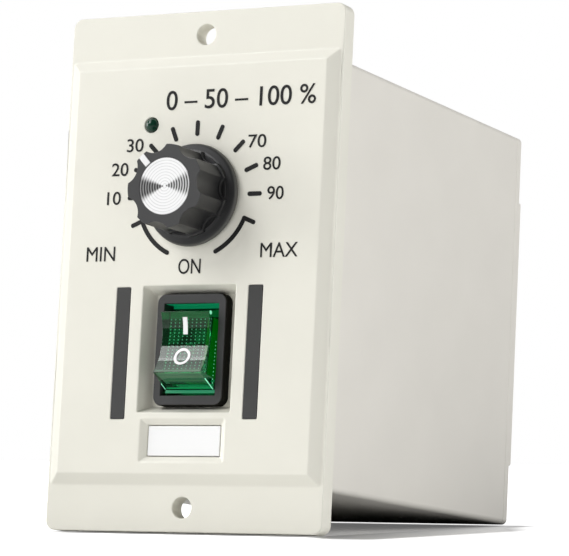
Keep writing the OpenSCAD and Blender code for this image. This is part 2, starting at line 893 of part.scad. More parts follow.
module pot_shaft() {
  color("silver") at_knob() difference() {
    rod_y(shaft_r, shaft_end, shaft_rear);
    block([shaft_r - flat_depth, shaft_end - cut, -shaft_d], [shaft_d, flat_end, shaft_d]);
  }
}

module pot_wiper() {
  color("black") at_knob() tube_y(wiper_r, shaft_r, wiper_y, wiper_y + wiper_t);
}

module pot_bush() {
  color("goldenrod") translate([0, 0, dial_z]) difference() {
    union() {
      rod_y(bush_d / 2, bush_end, skin_y + bush_plate_t);
      rod_y(can_r, skin_y, skin_y + bush_plate_t);
    }
    rod_y(shaft_r + running, bush_end - cut, track_y + cut);
  }
}

module pot_washer() {
  color("silver") translate([0, 0, dial_z])
    tube_y(washer_r, bush_d / 2 + running, face_y - washer_t, face_y);
}

module pot_nut() {
  color("silver") translate([0, face_y - washer_t, dial_z]) difference() {
    rotate([90, 0, 0]) cylinder(r = nut_r, h = nut_t, $fn = 6);
    rod_y(bush_d / 2 + running, -nut_t - cut, cut);
  }
}

module pot_can() {
  color("silver") translate([0, 0, dial_z]) difference() {
    rod_y(can_r, can_y, can_y + can_d);
    rod_y(can_r - can_t, can_y - cut, can_y + can_d - can_t);
  }
}

module pot_track() {
  color("saddlebrown") translate([0, 0, dial_z]) difference() {
    union() {
      rod_y(can_r, track_y, track_y + track_t);
      block([-tail_w / 2, track_y, -can_r - tail_l], [tail_w / 2, track_y + track_t, 0]);
    }
    rod_y(track_hole_r, track_y - cut, track_y + track_t + cut);
  }
}

module pot_leads() {
  color("silver") for (i = [-1 : 1])
    translate([i * lead_pitch, 0, lead_z]) rod_y(lead_r, track_y + track_t, lead_end);
}

module housing_shell() {
  difference() {
    union() {
      along_y(bezel_y + bezel_chamfer, pocket_y) rounded_rect(bezel_w, bezel_h, bezel_r);
      along_y(bezel_y, bezel_y + bezel_chamfer)
        rounded_rect(bezel_w - bezel_chamfer, bezel_h - bezel_chamfer, bezel_r - bezel_chamfer / 2);
      along_y(pocket_y, housing_y) square([housing_w, housing_h], center = true);
      // snap ears above and below, behind the panel
      for (side = [0, 1]) mirror([0, 0, side])
        along_x(-snap_w / 2, snap_w / 2) polygon([
          [slip, housing_h / 2 - snap_t], [slip, housing_h / 2 + snap_t], [snap_l, housing_h / 2 - snap_t]
        ]);
    }
    along_y(bezel_y - cut, back_y) square([window_w, window_h], center = true);
    translate([0, pivot_y, 0]) rod_x(trunnion_r + running, -housing_w, housing_w);
  }
}

module switch_housing() {
  color("#3a3a3c") translate([0, 0, switch_z]) difference() {
    union() {
      housing_shell();
      translate([rocker_lamp_x, 0, rocker_lamp_z]) rod_y(pillar_r, rocker_lamp_base, back_y);
      // stop for the blade's free end
      block([-blade_w / 4, stop_y, contact_z - tab_t], [blade_w / 4, back_y, contact_z + tab_t]);
    }
    for (z = [-contact_z, 0]) translate([0, 0, z])
      block([-tab_w / 2 - running, back_y - cut, -tab_t / 2 - running],
        [tab_w / 2 + running, housing_y + cut, tab_t / 2 + running]);
    for (side = [-1, 1]) translate([rocker_lamp_x + side * rocker_lamp_pitch / 2, 0, rocker_lamp_z])
      rod_y(lead_r + running, rocker_lamp_base - cut, housing_y + cut);
  }
}

// The rocker's own frame: its pivot at the origin, leant to the pressed-in ON position
module at_rocker() {
  translate([0, pivot_y, switch_z]) rotate([-rocker_tilt, 0, 0]) children();
}

module rocker_outside() {
  along_x(-head_w / 2, head_w / 2) difference() {
    polygon([
      [-head_reach, head_h / 2], [-shoulder_reach, shoulder_h / 2],
      [-shoulder_reach, -shoulder_h / 2], [-head_reach, -head_h / 2]
    ]);
    translate([-dish_axis, 0]) circle(dish_r);
  }
  along_x(-skirt_w / 2, skirt_w / 2) intersection() {
    circle(rocker_skirt_r);
    translate([-shoulder_reach, -rocker_skirt_r]) square([shoulder_reach + rocker_rear, 2 * rocker_skirt_r]);
  }
}

module switch_rocker() {
  color("green", 0.7) at_rocker() difference() {
    union() {
      difference() {
        rocker_outside();
        block([-rocker_room_w / 2, rocker_wall - dish_floor, -rocker_room_h / 2],
          [rocker_room_w / 2, rocker_rear + cut, rocker_room_h / 2]);
      }
      rod_y(plunger_boss_r, rocker_wall - dish_floor - running, boss_end);
      for (side = [0, 1]) mirror([side, 0, 0])
        rod_x(trunnion_r, skirt_w / 2 - running, trunnion_span / 2);
    }
    rod_y(plunger_room_r, -bore_reach, boss_end + cut);
  }
}

module rocker_marks() {
  color("white") at_rocker() intersection() {
    along_y(-head_reach, 0) {
      translate([0, bar_mark_z]) square([bar_mark_w, bar_mark_h], center = true);
      translate([0, ring_mark_z]) difference() {
        circle(ring_mark_r);
        circle(ring_mark_r - ring_mark_w);
      }
    }
    translate([0, -dish_axis, 0]) difference() {
      rod_x(dish_r, -head_w / 2, head_w / 2);
      rod_x(dish_r - mark_t, -head_w, head_w);
    }
  }
}

module rocker_plunger() {
  neck = plunger_reach - plunger_r;
  color("ivory") at_rocker() {
    rod_y(plunger_r, boss_end / 2, neck);
    translate([0, neck, 0]) sphere(plunger_r);
  }
}

module plunger_spring() {
  color("silver") at_rocker() tube_y(spring_r, spring_r - spring_wire, -bore_reach, boss_end / 2);
}

module contact_blade() {
  color("darkorange") translate([0, blade_y, switch_z]) rotate([blade_lean, 0, 0]) {
    block([-blade_w / 2, -blade_t / 2, -blade_l / 2], [blade_w / 2, blade_t / 2, blade_l / 2]);
    translate([0, 0, -contact_z]) rod_y(contact_r, blade_t / 2, blade_t / 2 + contact_t);
  }
}

module switch_terminals() {
  fulcrum_y = blade_y + blade_t / 2 + blade_gap + fulcrum_r;
  color("goldenrod") translate([0, 0, switch_z]) {
    // common terminal with its rounded fulcrum
    block([-tab_w / 2, fulcrum_y, -tab_t / 2], [tab_w / 2, tab_end, tab_t / 2]);
    translate([0, fulcrum_y, 0]) rod_x(fulcrum_r, -tab_w / 2, tab_w / 2);
    // fixed contact
    translate([0, 0, -contact_z]) {
      rod_y(contact_r, contact_y, contact_y + contact_t);
      block([-tab_w / 2, contact_y + contact_t, -tab_t / 2], [tab_w / 2, tab_end, tab_t / 2]);
    }
  }
}

module rocker_lamp() {
  color("lime") translate([rocker_lamp_x, 0, switch_z + rocker_lamp_z]) {
    translate([0, rocker_lamp_y + rocker_lamp_r, 0]) intersection() {
      sphere(rocker_lamp_r);
      rod_y(rocker_lamp_r + cut, -rocker_lamp_r - cut, 0);
    }
    rod_y(rocker_lamp_r, rocker_lamp_y + rocker_lamp_r, rocker_lamp_base);
    for (side = [-1, 1])
      translate([side * rocker_lamp_pitch / 2, 0, 0]) rod_y(lead_r, rocker_lamp_base, lead_end);
  }
}

module at_header_pins() {
  for (i = [0 : pin_count - 1]) translate([(i - (pin_count - 1) / 2) * pin_pitch, 0, 0]) children();
}

module control_board() {
  front = board_y - cut;
  back = board_y + board_t + cut;
  color("darkgreen") difference() {
    translate([0, 0, -case_drop]) along_y(board_y, board_y + board_t) rounded_rect(board_w, board_h, cut);
    at_bosses() rod_y(board_screw_r + slip, front, back);
    for (side = [-1, 1]) {
      translate([lamp_x + side * lamp_pitch / 2, 0, lamp_z]) rod_y(lead_hole_r, front, back);
      translate([rocker_lamp_x + side * rocker_lamp_pitch / 2, 0, switch_z + rocker_lamp_z])
        rod_y(lead_hole_r, front, back);
      translate([resistor_x + side * (resistor_w / 2 - resistor_lead_r * 4), 0, resistor_z])
        rod_y(resistor_lead_r + slip, front, back);
    }
    for (i = [-1 : 1]) translate([i * lead_pitch, 0, lead_z]) rod_y(lead_hole_r, front, back);
    for (z = [-contact_z, 0])
      translate([0, 0, switch_z + z]) slot_y(tab_w, tab_t, front, back);
    at_header_pins() translate([0, 0, pin_z]) slot_y(pin_w, pin_w, front, back);
    at_chip_legs() slot_y(chip_leg_w, chip_leg_t, front, back);
  }
}

module board_screws() {
  color("silver") at_bosses() translate([0, board_y + board_t, 0])
    pan_screw(board_screw_r, board_screw_l, screw_head_r, screw_head_t);
}

module at_chip_legs() {
  row = (chip_h + chip_leg_t) / 2;
  for (i = [0 : chip_leg_count - 1], side = [-1, 1])
    translate([(i - (chip_leg_count - 1) / 2) * pin_pitch, 0, chip_z + side * row]) children();
}

module control_chip() {
  back = board_y + board_t;
  color("#202020") {
    difference() {
      block([-chip_w / 2, back, chip_z - chip_h / 2], [chip_w / 2, back + chip_t, chip_z + chip_h / 2]);
      translate([-chip_w / 2, 0, chip_z]) rod_y(chip_t / 4, back + chip_t * 0.7, back + chip_t + cut);
    }
    at_chip_legs() block([-chip_leg_w / 2, board_y - pin_tail, -chip_leg_t / 2],
      [chip_leg_w / 2, back + chip_t / 2, chip_leg_t / 2]);
  }
}

module load_resistor() {
  back = board_y + board_t;
  color("white") translate([resistor_x, 0, resistor_z]) {
    block([-resistor_w / 2, back, -resistor_h / 2], [resistor_w / 2, back + resistor_t, resistor_h / 2]);
    for (side = [-1, 1]) translate([side * (resistor_w / 2 - resistor_lead_r * 4), 0, 0])
      rod_y(resistor_lead_r, board_y - pin_tail, back);
  }
}

// One bent pin: along Y through the control board, then down through the power board
module header_pin() {
  top = pin_z + pin_w / 2;
  block([-pin_w / 2, board_y - pin_tail, pin_z - pin_w / 2], [pin_w / 2, pin_drop_y, top]);
  block([-pin_w / 2, pin_drop_y - pin_w, power_low - pin_tail], [pin_w / 2, pin_drop_y, top]);
}

module board_header() {
  back = board_y + board_t;
  color("black") difference() {
    block([-header_w / 2, back, power_z], [header_w / 2, back + header_d, power_z + header_h]);
    at_header_pins() header_pin();
  }
}

module header_pins() {
  color("gold") at_header_pins() header_pin();
}

module at_devices() {
  for (i = [0 : device_count - 1]) translate([sink_x, sink_y + (i + 0.5) * device_pitch, power_z]) children();
}

module at_device_legs() {
  for (i = [-1 : 1]) translate([tab_plate_t + device_t / 2, i * device_leg_pitch, 0]) children();
}

// The device's body and legs, its back on the plane x = 0 and the board at z = 0
module power_device() {
  half = tab_plate_w / 2;
  block([0, -half, device_lift], [tab_plate_t, half, device_lift + tab_plate_h]);
  block([tab_plate_t, -half, device_lift], [tab_plate_t + device_t, half, device_lift + device_h]);
  at_device_legs() block([-device_leg_t / 2, -device_leg_w / 2, -board_t - pin_tail],
    [device_leg_t / 2, device_leg_w / 2, device_lift]);
}

module power_devices() {
  color("#303030") at_devices() difference() {
    power_device();
    translate([0, 0, device_hole_z]) rod_x(device_screw_r + slip, -cut, tab_plate_t + cut);
  }
}

module device_screws() {
  color("silver") at_devices() translate([tab_plate_t, 0, device_hole_z]) difference() {
    union() {
      rod_x(device_screw_r, -device_screw_l, 0);
      rod_x(device_head_r, 0, device_head_t);
    }
    block([device_head_t - slot_d, -device_head_r - cut, -slot_w / 2],
      [device_head_t + cut, device_head_r + cut, slot_w / 2]);
  }
}

module heat_sink() {
  fin_pitch = (sink_l - fin_t) / (fin_count - 1);
  base_x = sink_x - sink_base_t;
  color("dimgray") difference() {
    union() {
      block([base_x, sink_y, power_z], [sink_x, sink_y + sink_l, power_z + sink_h]);
      for (i = [0 : fin_count - 1]) translate([0, sink_y + i * fin_pitch, power_z])
        block([base_x - fin_l, 0, 0], [base_x, fin_t, sink_h]);
    }
    at_devices() translate([0, 0, device_hole_z]) rod_x(device_screw_r + running, -device_screw_l, cut);
  }
}

module smoothing_capacitor() {
  color("#26345e") translate([cap_can_x, cap_can_y, power_z]) {
    difference() {
      rod_z(cap_can_r, 0, cap_can_h);
      translate([0, 0, cap_groove_z]) rotate_extrude()
        translate([cap_can_r - cap_groove_d, 0]) square([cap_groove_d + cut, cap_groove_w]);
    }
    for (side = [-1, 1]) translate([side * cap_can_r / 2, 0, 0]) rod_z(pin_r, -board_t - pin_tail, 0);
  }
}

module film_capacitor() {
  color("goldenrod") translate([film_x, film_y, power_z]) {
    block([-film_w / 2, -film_l / 2, 0], [film_w / 2, film_l / 2, film_h]);
    for (side = [-1, 1])
      translate([0, side * (film_l - film_w) / 2, 0]) rod_z(pin_r, -board_t - pin_tail, 0);
  }
}

module transformer_core() {
  inner = [core_w - 2 * core_leg, core_h - 2 * core_leg];
  color("#555555") translate([core_x, core_y, power_z + coil_lift]) difference() {
    block([-core_w / 2, -core_l / 2, 0], [core_w / 2, core_l / 2, core_h]);
    for (side = [-1, 1]) translate([side * (inner.x + core_leg) / 4, 0, core_h / 2])
      cube([(inner.x - core_leg) / 2, core_l + 2 * cut, inner.y], center = true);
  }
}

module transformer_coil() {
  room = [core_w - 2 * core_leg - 2 * slip, core_h - 2 * core_leg - 2 * slip];
  color("peru") translate([core_x, core_y, power_z + coil_lift]) {
    difference() {
      translate([0, 0, core_h / 2]) cube([room.x, coil_l, room.y], center = true);
      translate([0, 0, core_h / 2])
        cube([core_leg + 2 * slip, core_l + 2 * slip, room.y + cut], center = true);
    }
    for (sx = [-1, 1], sy = [-1, 1]) translate([sx * coil_pin_x, sy * coil_pin_y, 0])
      rod_z(pin_r, -coil_lift - board_t - pin_tail, core_leg + slip);
  }
}

module fuse() {
  color("lightblue") translate([fuse_x, fuse_y, power_z + fuse_lift]) {
    rod_x(fuse_r - clip_t, -fuse_l / 2 + fuse_cap_l, fuse_l / 2 - fuse_cap_l);
    for (side = [0, 1]) mirror([side, 0, 0]) rod_x(fuse_r, fuse_l / 2 - fuse_cap_l, fuse_l / 2);
  }
}

module fuse_clips() {
  outer = fuse_r + running + clip_t;
  color("gold") for (side = [-1, 1]) translate([fuse_x + side * (fuse_l - fuse_cap_l) / 2, fuse_y, power_z]) {
    difference() {
      union() {
        translate([0, 0, fuse_lift]) rod_x(outer, -clip_l / 2, clip_l / 2);
        block([-clip_l / 2, -fuse_r / 2, 0], [clip_l / 2, fuse_r / 2, fuse_lift - fuse_r]);
      }
      translate([0, 0, fuse_lift]) rod_x(fuse_r + running, -clip_l, clip_l);
      block([-clip_l, -fuse_r * 0.7, fuse_lift], [clip_l, fuse_r * 0.7, fuse_lift + 2 * fuse_r]);
    }
    rod_z(pin_r, -board_t - pin_tail, 0);
  }
}

module power_board() {
  low = power_low - cut;
  high = power_z + cut;
  color("darkgreen") difference() {
    block([-power_w / 2, power_y, power_low], [power_w / 2, power_end, power_z]);
    at_header_pins() translate([0, pin_drop_y - pin_w / 2, 0]) slot_z(pin_w, pin_w, low, high);
    at_devices() at_device_legs() slot_z(device_leg_t, device_leg_w, -board_t - cut, cut);
    for (side = [-1, 1]) {
      translate([cap_can_x + side * cap_can_r / 2, cap_can_y, 0]) rod_z(pin_r + slip, low, high);
      translate([film_x, film_y + side * (film_l - film_w) / 2, 0]) rod_z(pin_r + slip, low, high);
      translate([fuse_x + side * (fuse_l - fuse_cap_l) / 2, fuse_y, 0]) rod_z(pin_r + slip, low, high);
    }
    for (sx = [-1, 1], sy = [-1, 1])
      translate([core_x + sx * coil_pin_x, core_y + sy * coil_pin_y, 0]) rod_z(pin_r + slip, low, high);
    at_poles() translate([0, tang_y + tang_t / 2, 0]) slot_z(tang_w, tang_t, low, high);
  }
}

module at_poles() {
  for (i = [0 : pole_count - 1]) translate([(i - (pole_count - 1) / 2) * pole_pitch, 0, 0]) children();
}

// The bent strip of one pole: its face, the tang through the block and the pin into the board
module strip_shape() {
  low = block_mid - strip_h / 2;
  block([-strip_w / 2, bay_y, low], [strip_w / 2, bay_y + strip_t, low + strip_h]);
  block([-tang_w / 2, tang_y, low], [tang_w / 2, bay_y, low + tang_t]);
  block([-tang_w / 2, tang_y, power_low - pin_tail], [tang_w / 2, tang_y + tang_t, low + tang_t]);
}

module terminal_block() {
  color("#1c1c1e") difference() {
    block([-block_w / 2, block_y, block_low], [block_w / 2, block_back, block_low + block_h]);
    at_poles() {
      block([-bay_w / 2, bay_y, block_low - cut], [bay_w / 2, block_back + cut, block_low + block_h + cut]);
      translate([0, 0, block_mid]) rod_y(terminal_r + running, bay_y - terminal_screw_l, bay_y + cut);
      strip_shape();
    }
  }
}

module terminal_strips() {
  color("silver") at_poles() difference() {
    strip_shape();
    translate([0, 0, block_mid]) rod_y(terminal_r + running, bay_y - cut, bay_y + strip_t + cut);
  }
}

module terminal_clamps() {
  color("gold") at_poles() translate([0, bay_y + strip_t, block_mid]) difference() {
    block([-clamp_w / 2, 0, -clamp_w / 2], [clamp_w / 2, clamp_t, clamp_w / 2]);
    rod_y(terminal_r + running, -cut, clamp_t + cut);
  }
}

module terminal_screws() {
  color("silver") at_poles() translate([0, bay_y + strip_t + clamp_t, block_mid])
    pan_screw(terminal_r, terminal_screw_l, terminal_head_r, terminal_head_t);
}

front_panel();
case_shell();
rear_cover();
rear_cover_screws();
blank_plate();
panel_bars();
dial_scale();
indicator_lamp();
lamp_leads();
knob_body();
knob_cap();
knob_pointer();
knob_grub_screw();
pot_shaft();
pot_wiper();
pot_bush();
pot_washer();
pot_nut();
pot_can();
pot_track();
pot_leads();
switch_housing();
switch_rocker();
rocker_marks();
rocker_plunger();
plunger_spring();
contact_blade();
switch_terminals();
rocker_lamp();
control_board();
board_screws();
control_chip();
load_resistor();
board_header();
header_pins();
power_board();
heat_sink();
power_devices();
device_screws();
smoothing_capacitor();
film_capacitor();
transformer_core();
transformer_coil();
fuse();
fuse_clips();
terminal_block();
terminal_strips();
terminal_clamps();
terminal_screws();
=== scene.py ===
"""Looks of a panel-mount motor speed controller: finishes, lettering and rounded copies around the CAD frame.

X runs to the right seen from the front, Y from the front into the case, Z is up, and the origin is
the middle of the two mounting holes on the flange's rear face. Lengths are in metres, and a value given in
mm is multiplied by MM where it is used.
"""

import json
import math

import bmesh
import bpy
from mathutils import Matrix, Vector


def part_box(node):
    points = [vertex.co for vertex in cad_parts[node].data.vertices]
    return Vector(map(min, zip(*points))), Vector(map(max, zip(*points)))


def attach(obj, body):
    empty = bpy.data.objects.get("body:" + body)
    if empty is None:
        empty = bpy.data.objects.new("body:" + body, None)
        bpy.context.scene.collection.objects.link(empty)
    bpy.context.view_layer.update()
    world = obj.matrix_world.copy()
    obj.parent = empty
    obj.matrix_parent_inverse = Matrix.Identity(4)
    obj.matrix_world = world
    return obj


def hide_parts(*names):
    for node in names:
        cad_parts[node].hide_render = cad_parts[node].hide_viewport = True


MM = 0.001

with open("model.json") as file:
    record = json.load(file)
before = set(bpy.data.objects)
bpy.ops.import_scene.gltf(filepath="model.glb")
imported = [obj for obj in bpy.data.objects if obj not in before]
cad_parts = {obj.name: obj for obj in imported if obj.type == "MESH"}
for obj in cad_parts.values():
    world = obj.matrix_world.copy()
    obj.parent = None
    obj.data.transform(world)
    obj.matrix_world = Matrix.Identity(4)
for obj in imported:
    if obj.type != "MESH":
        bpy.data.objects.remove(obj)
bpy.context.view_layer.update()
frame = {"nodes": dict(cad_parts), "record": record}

# The photograph's camera: where it stands and its own right, down and forward directions
IMAGE_W = 569
FOCAL_PIXELS = 3237.3
SENSOR_MM = 36
CAMERA_AT = Vector((313.0, -554.4, -86.6)) * MM
CAMERA_RIGHT = Vector((0.88498, 0.46310, 0.04847))
CAMERA_DOWN = Vector((-0.01968, 0.14120, -0.98979))
CAMERA_FORWARD = Vector((-0.46522, 0.87498, 0.13407))


def mount_dims(name):
    """The sizes in mm that the record gives for one mount."""
    return next(m["dims"] for m in frame["record"]["mounts"] if m["name"] == name)


# Planes and places that the CAD nodes and the record give
PANEL_LOW, PANEL_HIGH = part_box("front_panel")
CASE_LOW, CASE_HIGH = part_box("case_shell")
COVER_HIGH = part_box("rear_cover")[1]
CAP_LOW, CAP_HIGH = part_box("knob_cap")
LAMP_LOW, LAMP_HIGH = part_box("indicator_lamp")
ROCKER_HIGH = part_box("switch_rocker")[1]
SCALE_LOW, SCALE_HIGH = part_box("dial_scale")
TERMINAL_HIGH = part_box("terminal_block")[1]
FACE_Y = PANEL_LOW.y
DIAL = Vector((0, FACE_Y, (CAP_LOW.z + CAP_HIGH.z) / 2))
LAMP = (LAMP_LOW + LAMP_HIGH) / 2
INK = SCALE_HIGH.y - SCALE_LOW.y
ROCKER_JOINT = next(j for j in frame["record"]["behaviour"]["joints"] if j["name"] == "rocker_tilt")
ROCKER_PIVOT = Vector(ROCKER_JOINT["pos_m"])
ROCKER_LEAN = math.radians(ROCKER_JOINT["range_deg"][1] / 2)
BEZEL_LOW, BEZEL_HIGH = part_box("switch_housing")
BEZEL_MIDDLE = (BEZEL_LOW + BEZEL_HIGH) / 2
PLATE_MIDDLE = sum(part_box("blank_plate"), Vector()) / 2
HOLE_HALF_PITCH = mount_dims("panel_screws")["spacing_y_mm"] / 2 * MM
POLES = mount_dims("wire_terminals")["count"]
POLE_PITCH = mount_dims("wire_terminals")["spacing_x_mm"]

scene = bpy.context.scene
scene.view_settings.view_transform = "Standard"


# Finishes


class Socket:
    """One output of a finish's nodes, which takes Python's arithmetic and adds Math nodes."""

    def __init__(self, finish, output):
        self.finish = finish
        self.output = output

    def __add__(self, other):
        return self.finish.math("ADD", self, other)

    def __sub__(self, other):
        return self.finish.math("SUBTRACT", self, other)

    def __rsub__(self, other):
        return self.finish.math("SUBTRACT", other, self)

    def __mul__(self, other):
        return self.finish.math("MULTIPLY", self, other)

    def __truediv__(self, other):
        return self.finish.math("DIVIDE", self, other)

    def __gt__(self, other):
        return self.finish.math("GREATER_THAN", self, other)

    def __lt__(self, other):
        return self.finish.math("LESS_THAN", self, other)

    __radd__ = __add__
    __rmul__ = __mul__


class Finish:
    """A material on one Principled shader, with its nodes made from Python values."""

    def __init__(self, name, base, **settings):
        self.material = bpy.data.materials.new(name)
        self.material.use_nodes = True
        self.tree = self.material.node_tree
        self.shader = self.tree.nodes["Principled BSDF"]
        self.set("Base Color", base)
        for socket, value in settings.items():
            self.set(socket.replace("_", " ").title().replace("Ior", "IOR"), value)

    def set(self, socket, value):
        """Gives one of the shader's sockets a value, a colour or a link."""
        target = self.shader.inputs[socket]
        if isinstance(value, Socket):
            self.tree.links.new(value.output, target)
        elif isinstance(value, tuple) and len(value) == 3:
            target.default_value = (*value, 1)
        else:
            target.default_value = value

    def node(self, kind, settings=None, inputs=None, output=0):
        """Adds a node with its settings and its sockets' values or links, and gives one of its outputs."""
        made = self.tree.nodes.new(kind)
        for name, value in (settings or {}).items():
            setattr(made, name, value)
        for name, value in (inputs or {}).items():
            if isinstance(value, Socket):
                self.tree.links.new(value.output, made.inputs[name])
            elif isinstance(value, tuple) and len(value) == 3 and made.inputs[name].type == "RGBA":
                made.inputs[name].default_value = (*value, 1)
            else:
                made.inputs[name].default_value = value
        return Socket(self, made.outputs[output])

    def math(self, operation, *values):
        """A Math node on numbers or sockets."""
        return self.node("ShaderNodeMath", {"operation": operation}, dict(enumerate(values)))

    def place(self):
        """The point on the object, in the part's own frame."""
        return self.node("ShaderNodeTexCoord", output="Object")

    def axes(self):
        """X, Y and Z of that point, in millimetres."""
        apart = self.node("ShaderNodeSeparateXYZ", inputs={"Vector": self.place()}).output.node
        return [Socket(self, out) * (1 / MM) for out in apart.outputs]

    def noise(self, grain_mm, detail=2.0):
        """Noise from 0 to 1 whose grains are grain_mm across."""
        return self.node(
            "ShaderNodeTexNoise",
            inputs={"Vector": self.place(), "Scale": 1 / (grain_mm * MM), "Detail": detail},
        )

    def blend(self, share, first, second):
        """The first colour where share is 0, the second where it is 1."""
        return self.node(
            "ShaderNodeMix", {"data_type": "RGBA"}, {0: share, 6: first, 7: second}, output=2
        )

    def ramp(self, value, start, full, interpolation="LINEAR"):
        """0 where the value is at start, 1 where it is at full, a slope between and level beyond them."""
        return self.node(
            "ShaderNodeMapRange",
            {"interpolation_type": interpolation},
            {"Value": value, "From Min": start, "From Max": full},
        )

    def relief(self, height, depth_mm):
        """Turns a height from 0 to 1 into bumps of depth_mm."""
        sizes = {"Strength": 1.0, "Distance": depth_mm * MM}
        self.set("Normal", self.node("ShaderNodeBump", inputs={**sizes, "Height": height}))

    def mix_over(self, share, shader, base=None):
        """Shows a second shader where share is 1, over the finish or over a base shader where it is 0."""
        return self.node("ShaderNodeMixShader", inputs={0: share, 1: base or self.own(), 2: shader})

    def own(self):
        """The Principled shader itself."""
        return Socket(self, self.shader.outputs[0])

    def show(self, shader):
        """Gives the material this shader in place of its Principled one."""
        self.tree.links.new(shader.output, self.tree.nodes["Material Output"].inputs["Surface"])


def grey(level):
    """A grey of one level."""
    return (level, level, level)


def moulded(name, base, roughness=0.42, grain_mm=0.22, grain_depth_mm=0.008, cloud=0.03, **settings):
    """Moulded plastic: fine grain, and a faint cloudiness in its tone and polish."""
    finish = Finish(name, base, roughness=roughness, **settings)
    clouds = finish.noise(14, 3.0)
    low = tuple(c * (1 - cloud) for c in base)
    high = tuple(min(1, c * (1 + cloud)) for c in base)
    finish.set("Base Color", finish.blend(clouds, low, high))
    finish.set("Roughness", (clouds - 0.5) * 0.12 + roughness)
    finish.relief(finish.noise(grain_mm, 2.0), grain_depth_mm)
    return finish


def plated(name, base, roughness=0.28):
    """Plated metal: a fine grain and uneven polish."""
    finish = Finish(name, base, metallic=1.0, roughness=roughness)
    grain = finish.noise(0.3, 3.0)
    finish.set("Roughness", (grain - 0.5) * 0.25 + roughness)
    finish.relief(grain, 0.004)
    return finish


# The cap's two white fans of painted reflection, by height over distance from the axis, and where its painted
# shade turns from the darker left to the lighter right
PAINTED_FAN_TILT = 0.07
PAINTED_FAN_START, PAINTED_FAN_FULL = 0.26, 0.56
CAP_SHADE_TURNS_MM = 1.2


def spun_metal(name, base, ring_mm, outer_mm):
    """Aluminium faced on a lathe: fine rings round the knob's axis. Its colour holds painted light: white
    fans of painted reflection above and below, painted ring shading, and painted shade that leaves its left
    darker than its right.
    """
    finish = Finish(name, base, roughness=0.3)
    x, y, z = finish.axes()
    z = z - DIAL.z / MM
    radius = finish.math("SQRT", x * x + z * z)
    rings = finish.math("SINE", radius * (2 * math.pi / ring_mm)) * 0.5 + 0.5
    # Painted light: the fans are painted reflections, the rings alternate dark and light in colour as painted
    # ring shading, the grey is darker on the left as painted shade, and the faint darker rings on the outer
    # left of the fans are painted shade too.
    steepness = (finish.math("ABSOLUTE", z - x * PAINTED_FAN_TILT) + 0.1) / (radius + 0.05)
    painted_fan = finish.ramp(steepness, PAINTED_FAN_START, PAINTED_FAN_FULL, "SMOOTHSTEP")
    outer = finish.ramp(radius, outer_mm * 0.5, outer_mm)
    right = finish.ramp(x, -CAP_SHADE_TURNS_MM, CAP_SHADE_TURNS_MM)
    ridge_sheen = finish.blend(right, grey(0.34), grey(0.80))
    ring_shade = finish.blend(rings, grey(0.03), ridge_sheen)
    faint = finish.blend((1 - rings) * outer * (1 - right) * 0.06, base, grey(0.1))
    finish.set("Base Color", finish.blend(painted_fan, ring_shade, faint))
    finish.set("Metallic", (1 - painted_fan) * 0.3 + 0.15)
    finish.set("Roughness", rings * 0.12 + 0.25)
    finish.relief(rings * (1 - painted_fan), 0.01)
    return finish


def clear_green(name):
    """The rocker's clear green moulding, a little uneven in its polish."""
    finish = Finish(name, (0.01, 0.40, 0.18), roughness=0.04, ior=1.49, transmission_weight=0.92)
    waves = finish.noise(4, 2.0)
    finish.set("Base Color", finish.blend(waves, (0.0015, 0.22, 0.05), (0.006, 0.30, 0.08)))
    finish.set("Roughness", waves * 0.05 + 0.02)
    finish.relief(waves, 0.004)
    return finish


# The knob in mm: where its skirt begins, the front of its grip, and the front and back of its skirt's rim
SKIRT_INNER_R = 8.8
GRIP_FRONT_Y = -17.1
SKIRT_RIM_FRONT_Y, SKIRT_RIM_BACK_Y = -7.15, -6.8

# The bezel in mm: the half width and height that its window keeps within, and where its flanks begin
WINDOW_CLEAR_X, WINDOW_CLEAR_Z = 6.5, 9.4
BEZEL_FLANK_Y = -3.85

END_BAND_MM = 1.7


def knob_plastic(name):
    """The knob's dark plastic, with painted light in its colour: paler on the grip's front face as a painted
    sheen, darkest on the skirt as painted shade, and palest at its rim as a painted highlight.
    """
    finish = moulded(name, (0.018, 0.018, 0.019), 0.40, grain_depth_mm=0.006, specular_ior_level=0.7)
    x, y, z = finish.axes()
    z = z - DIAL.z / MM
    on_skirt = finish.math("SQRT", x * x + z * z) > SKIRT_INNER_R
    at_rim = finish.ramp(y, SKIRT_RIM_FRONT_Y, SKIRT_RIM_BACK_Y)
    # Painted sheen on the grip's front face, painted shade on the skirt, and a painted highlight at the
    # skirt's rim.
    tone = finish.blend(y < GRIP_FRONT_Y, (0.014, 0.014, 0.015), (0.037, 0.037, 0.038))
    tone = finish.blend(on_skirt, tone, (0.008, 0.008, 0.009))
    finish.set("Base Color", finish.blend(on_skirt * at_rim, tone, (0.075, 0.075, 0.068)))
    finish.set("Roughness", on_skirt * 0.2 + 0.40)
    return finish


def bezel_plastic(name):
    """The switch bezel's grey, with painted shade on its flanks outside the window, which are nearly black
    and without sheen.
    """
    finish = moulded(name, (0.035, 0.035, 0.036), 0.60, specular_ior_level=0.6)
    x, y, z = finish.axes()
    beyond_window = finish.math(
        "MAXIMUM",
        finish.math("ABSOLUTE", x) > WINDOW_CLEAR_X,
        finish.math("ABSOLUTE", z - BEZEL_MIDDLE.z / MM) > WINDOW_CLEAR_Z,
    )
    # Painted shade: a darker colour without sheen on the flanks outside the window.
    flank_shade = finish.node("ShaderNodeBsdfDiffuse", inputs={"Color": (0.014, 0.014, 0.012)})
    finish.show(finish.mix_over((y > BEZEL_FLANK_Y) * beyond_window, flank_shade))
    return finish


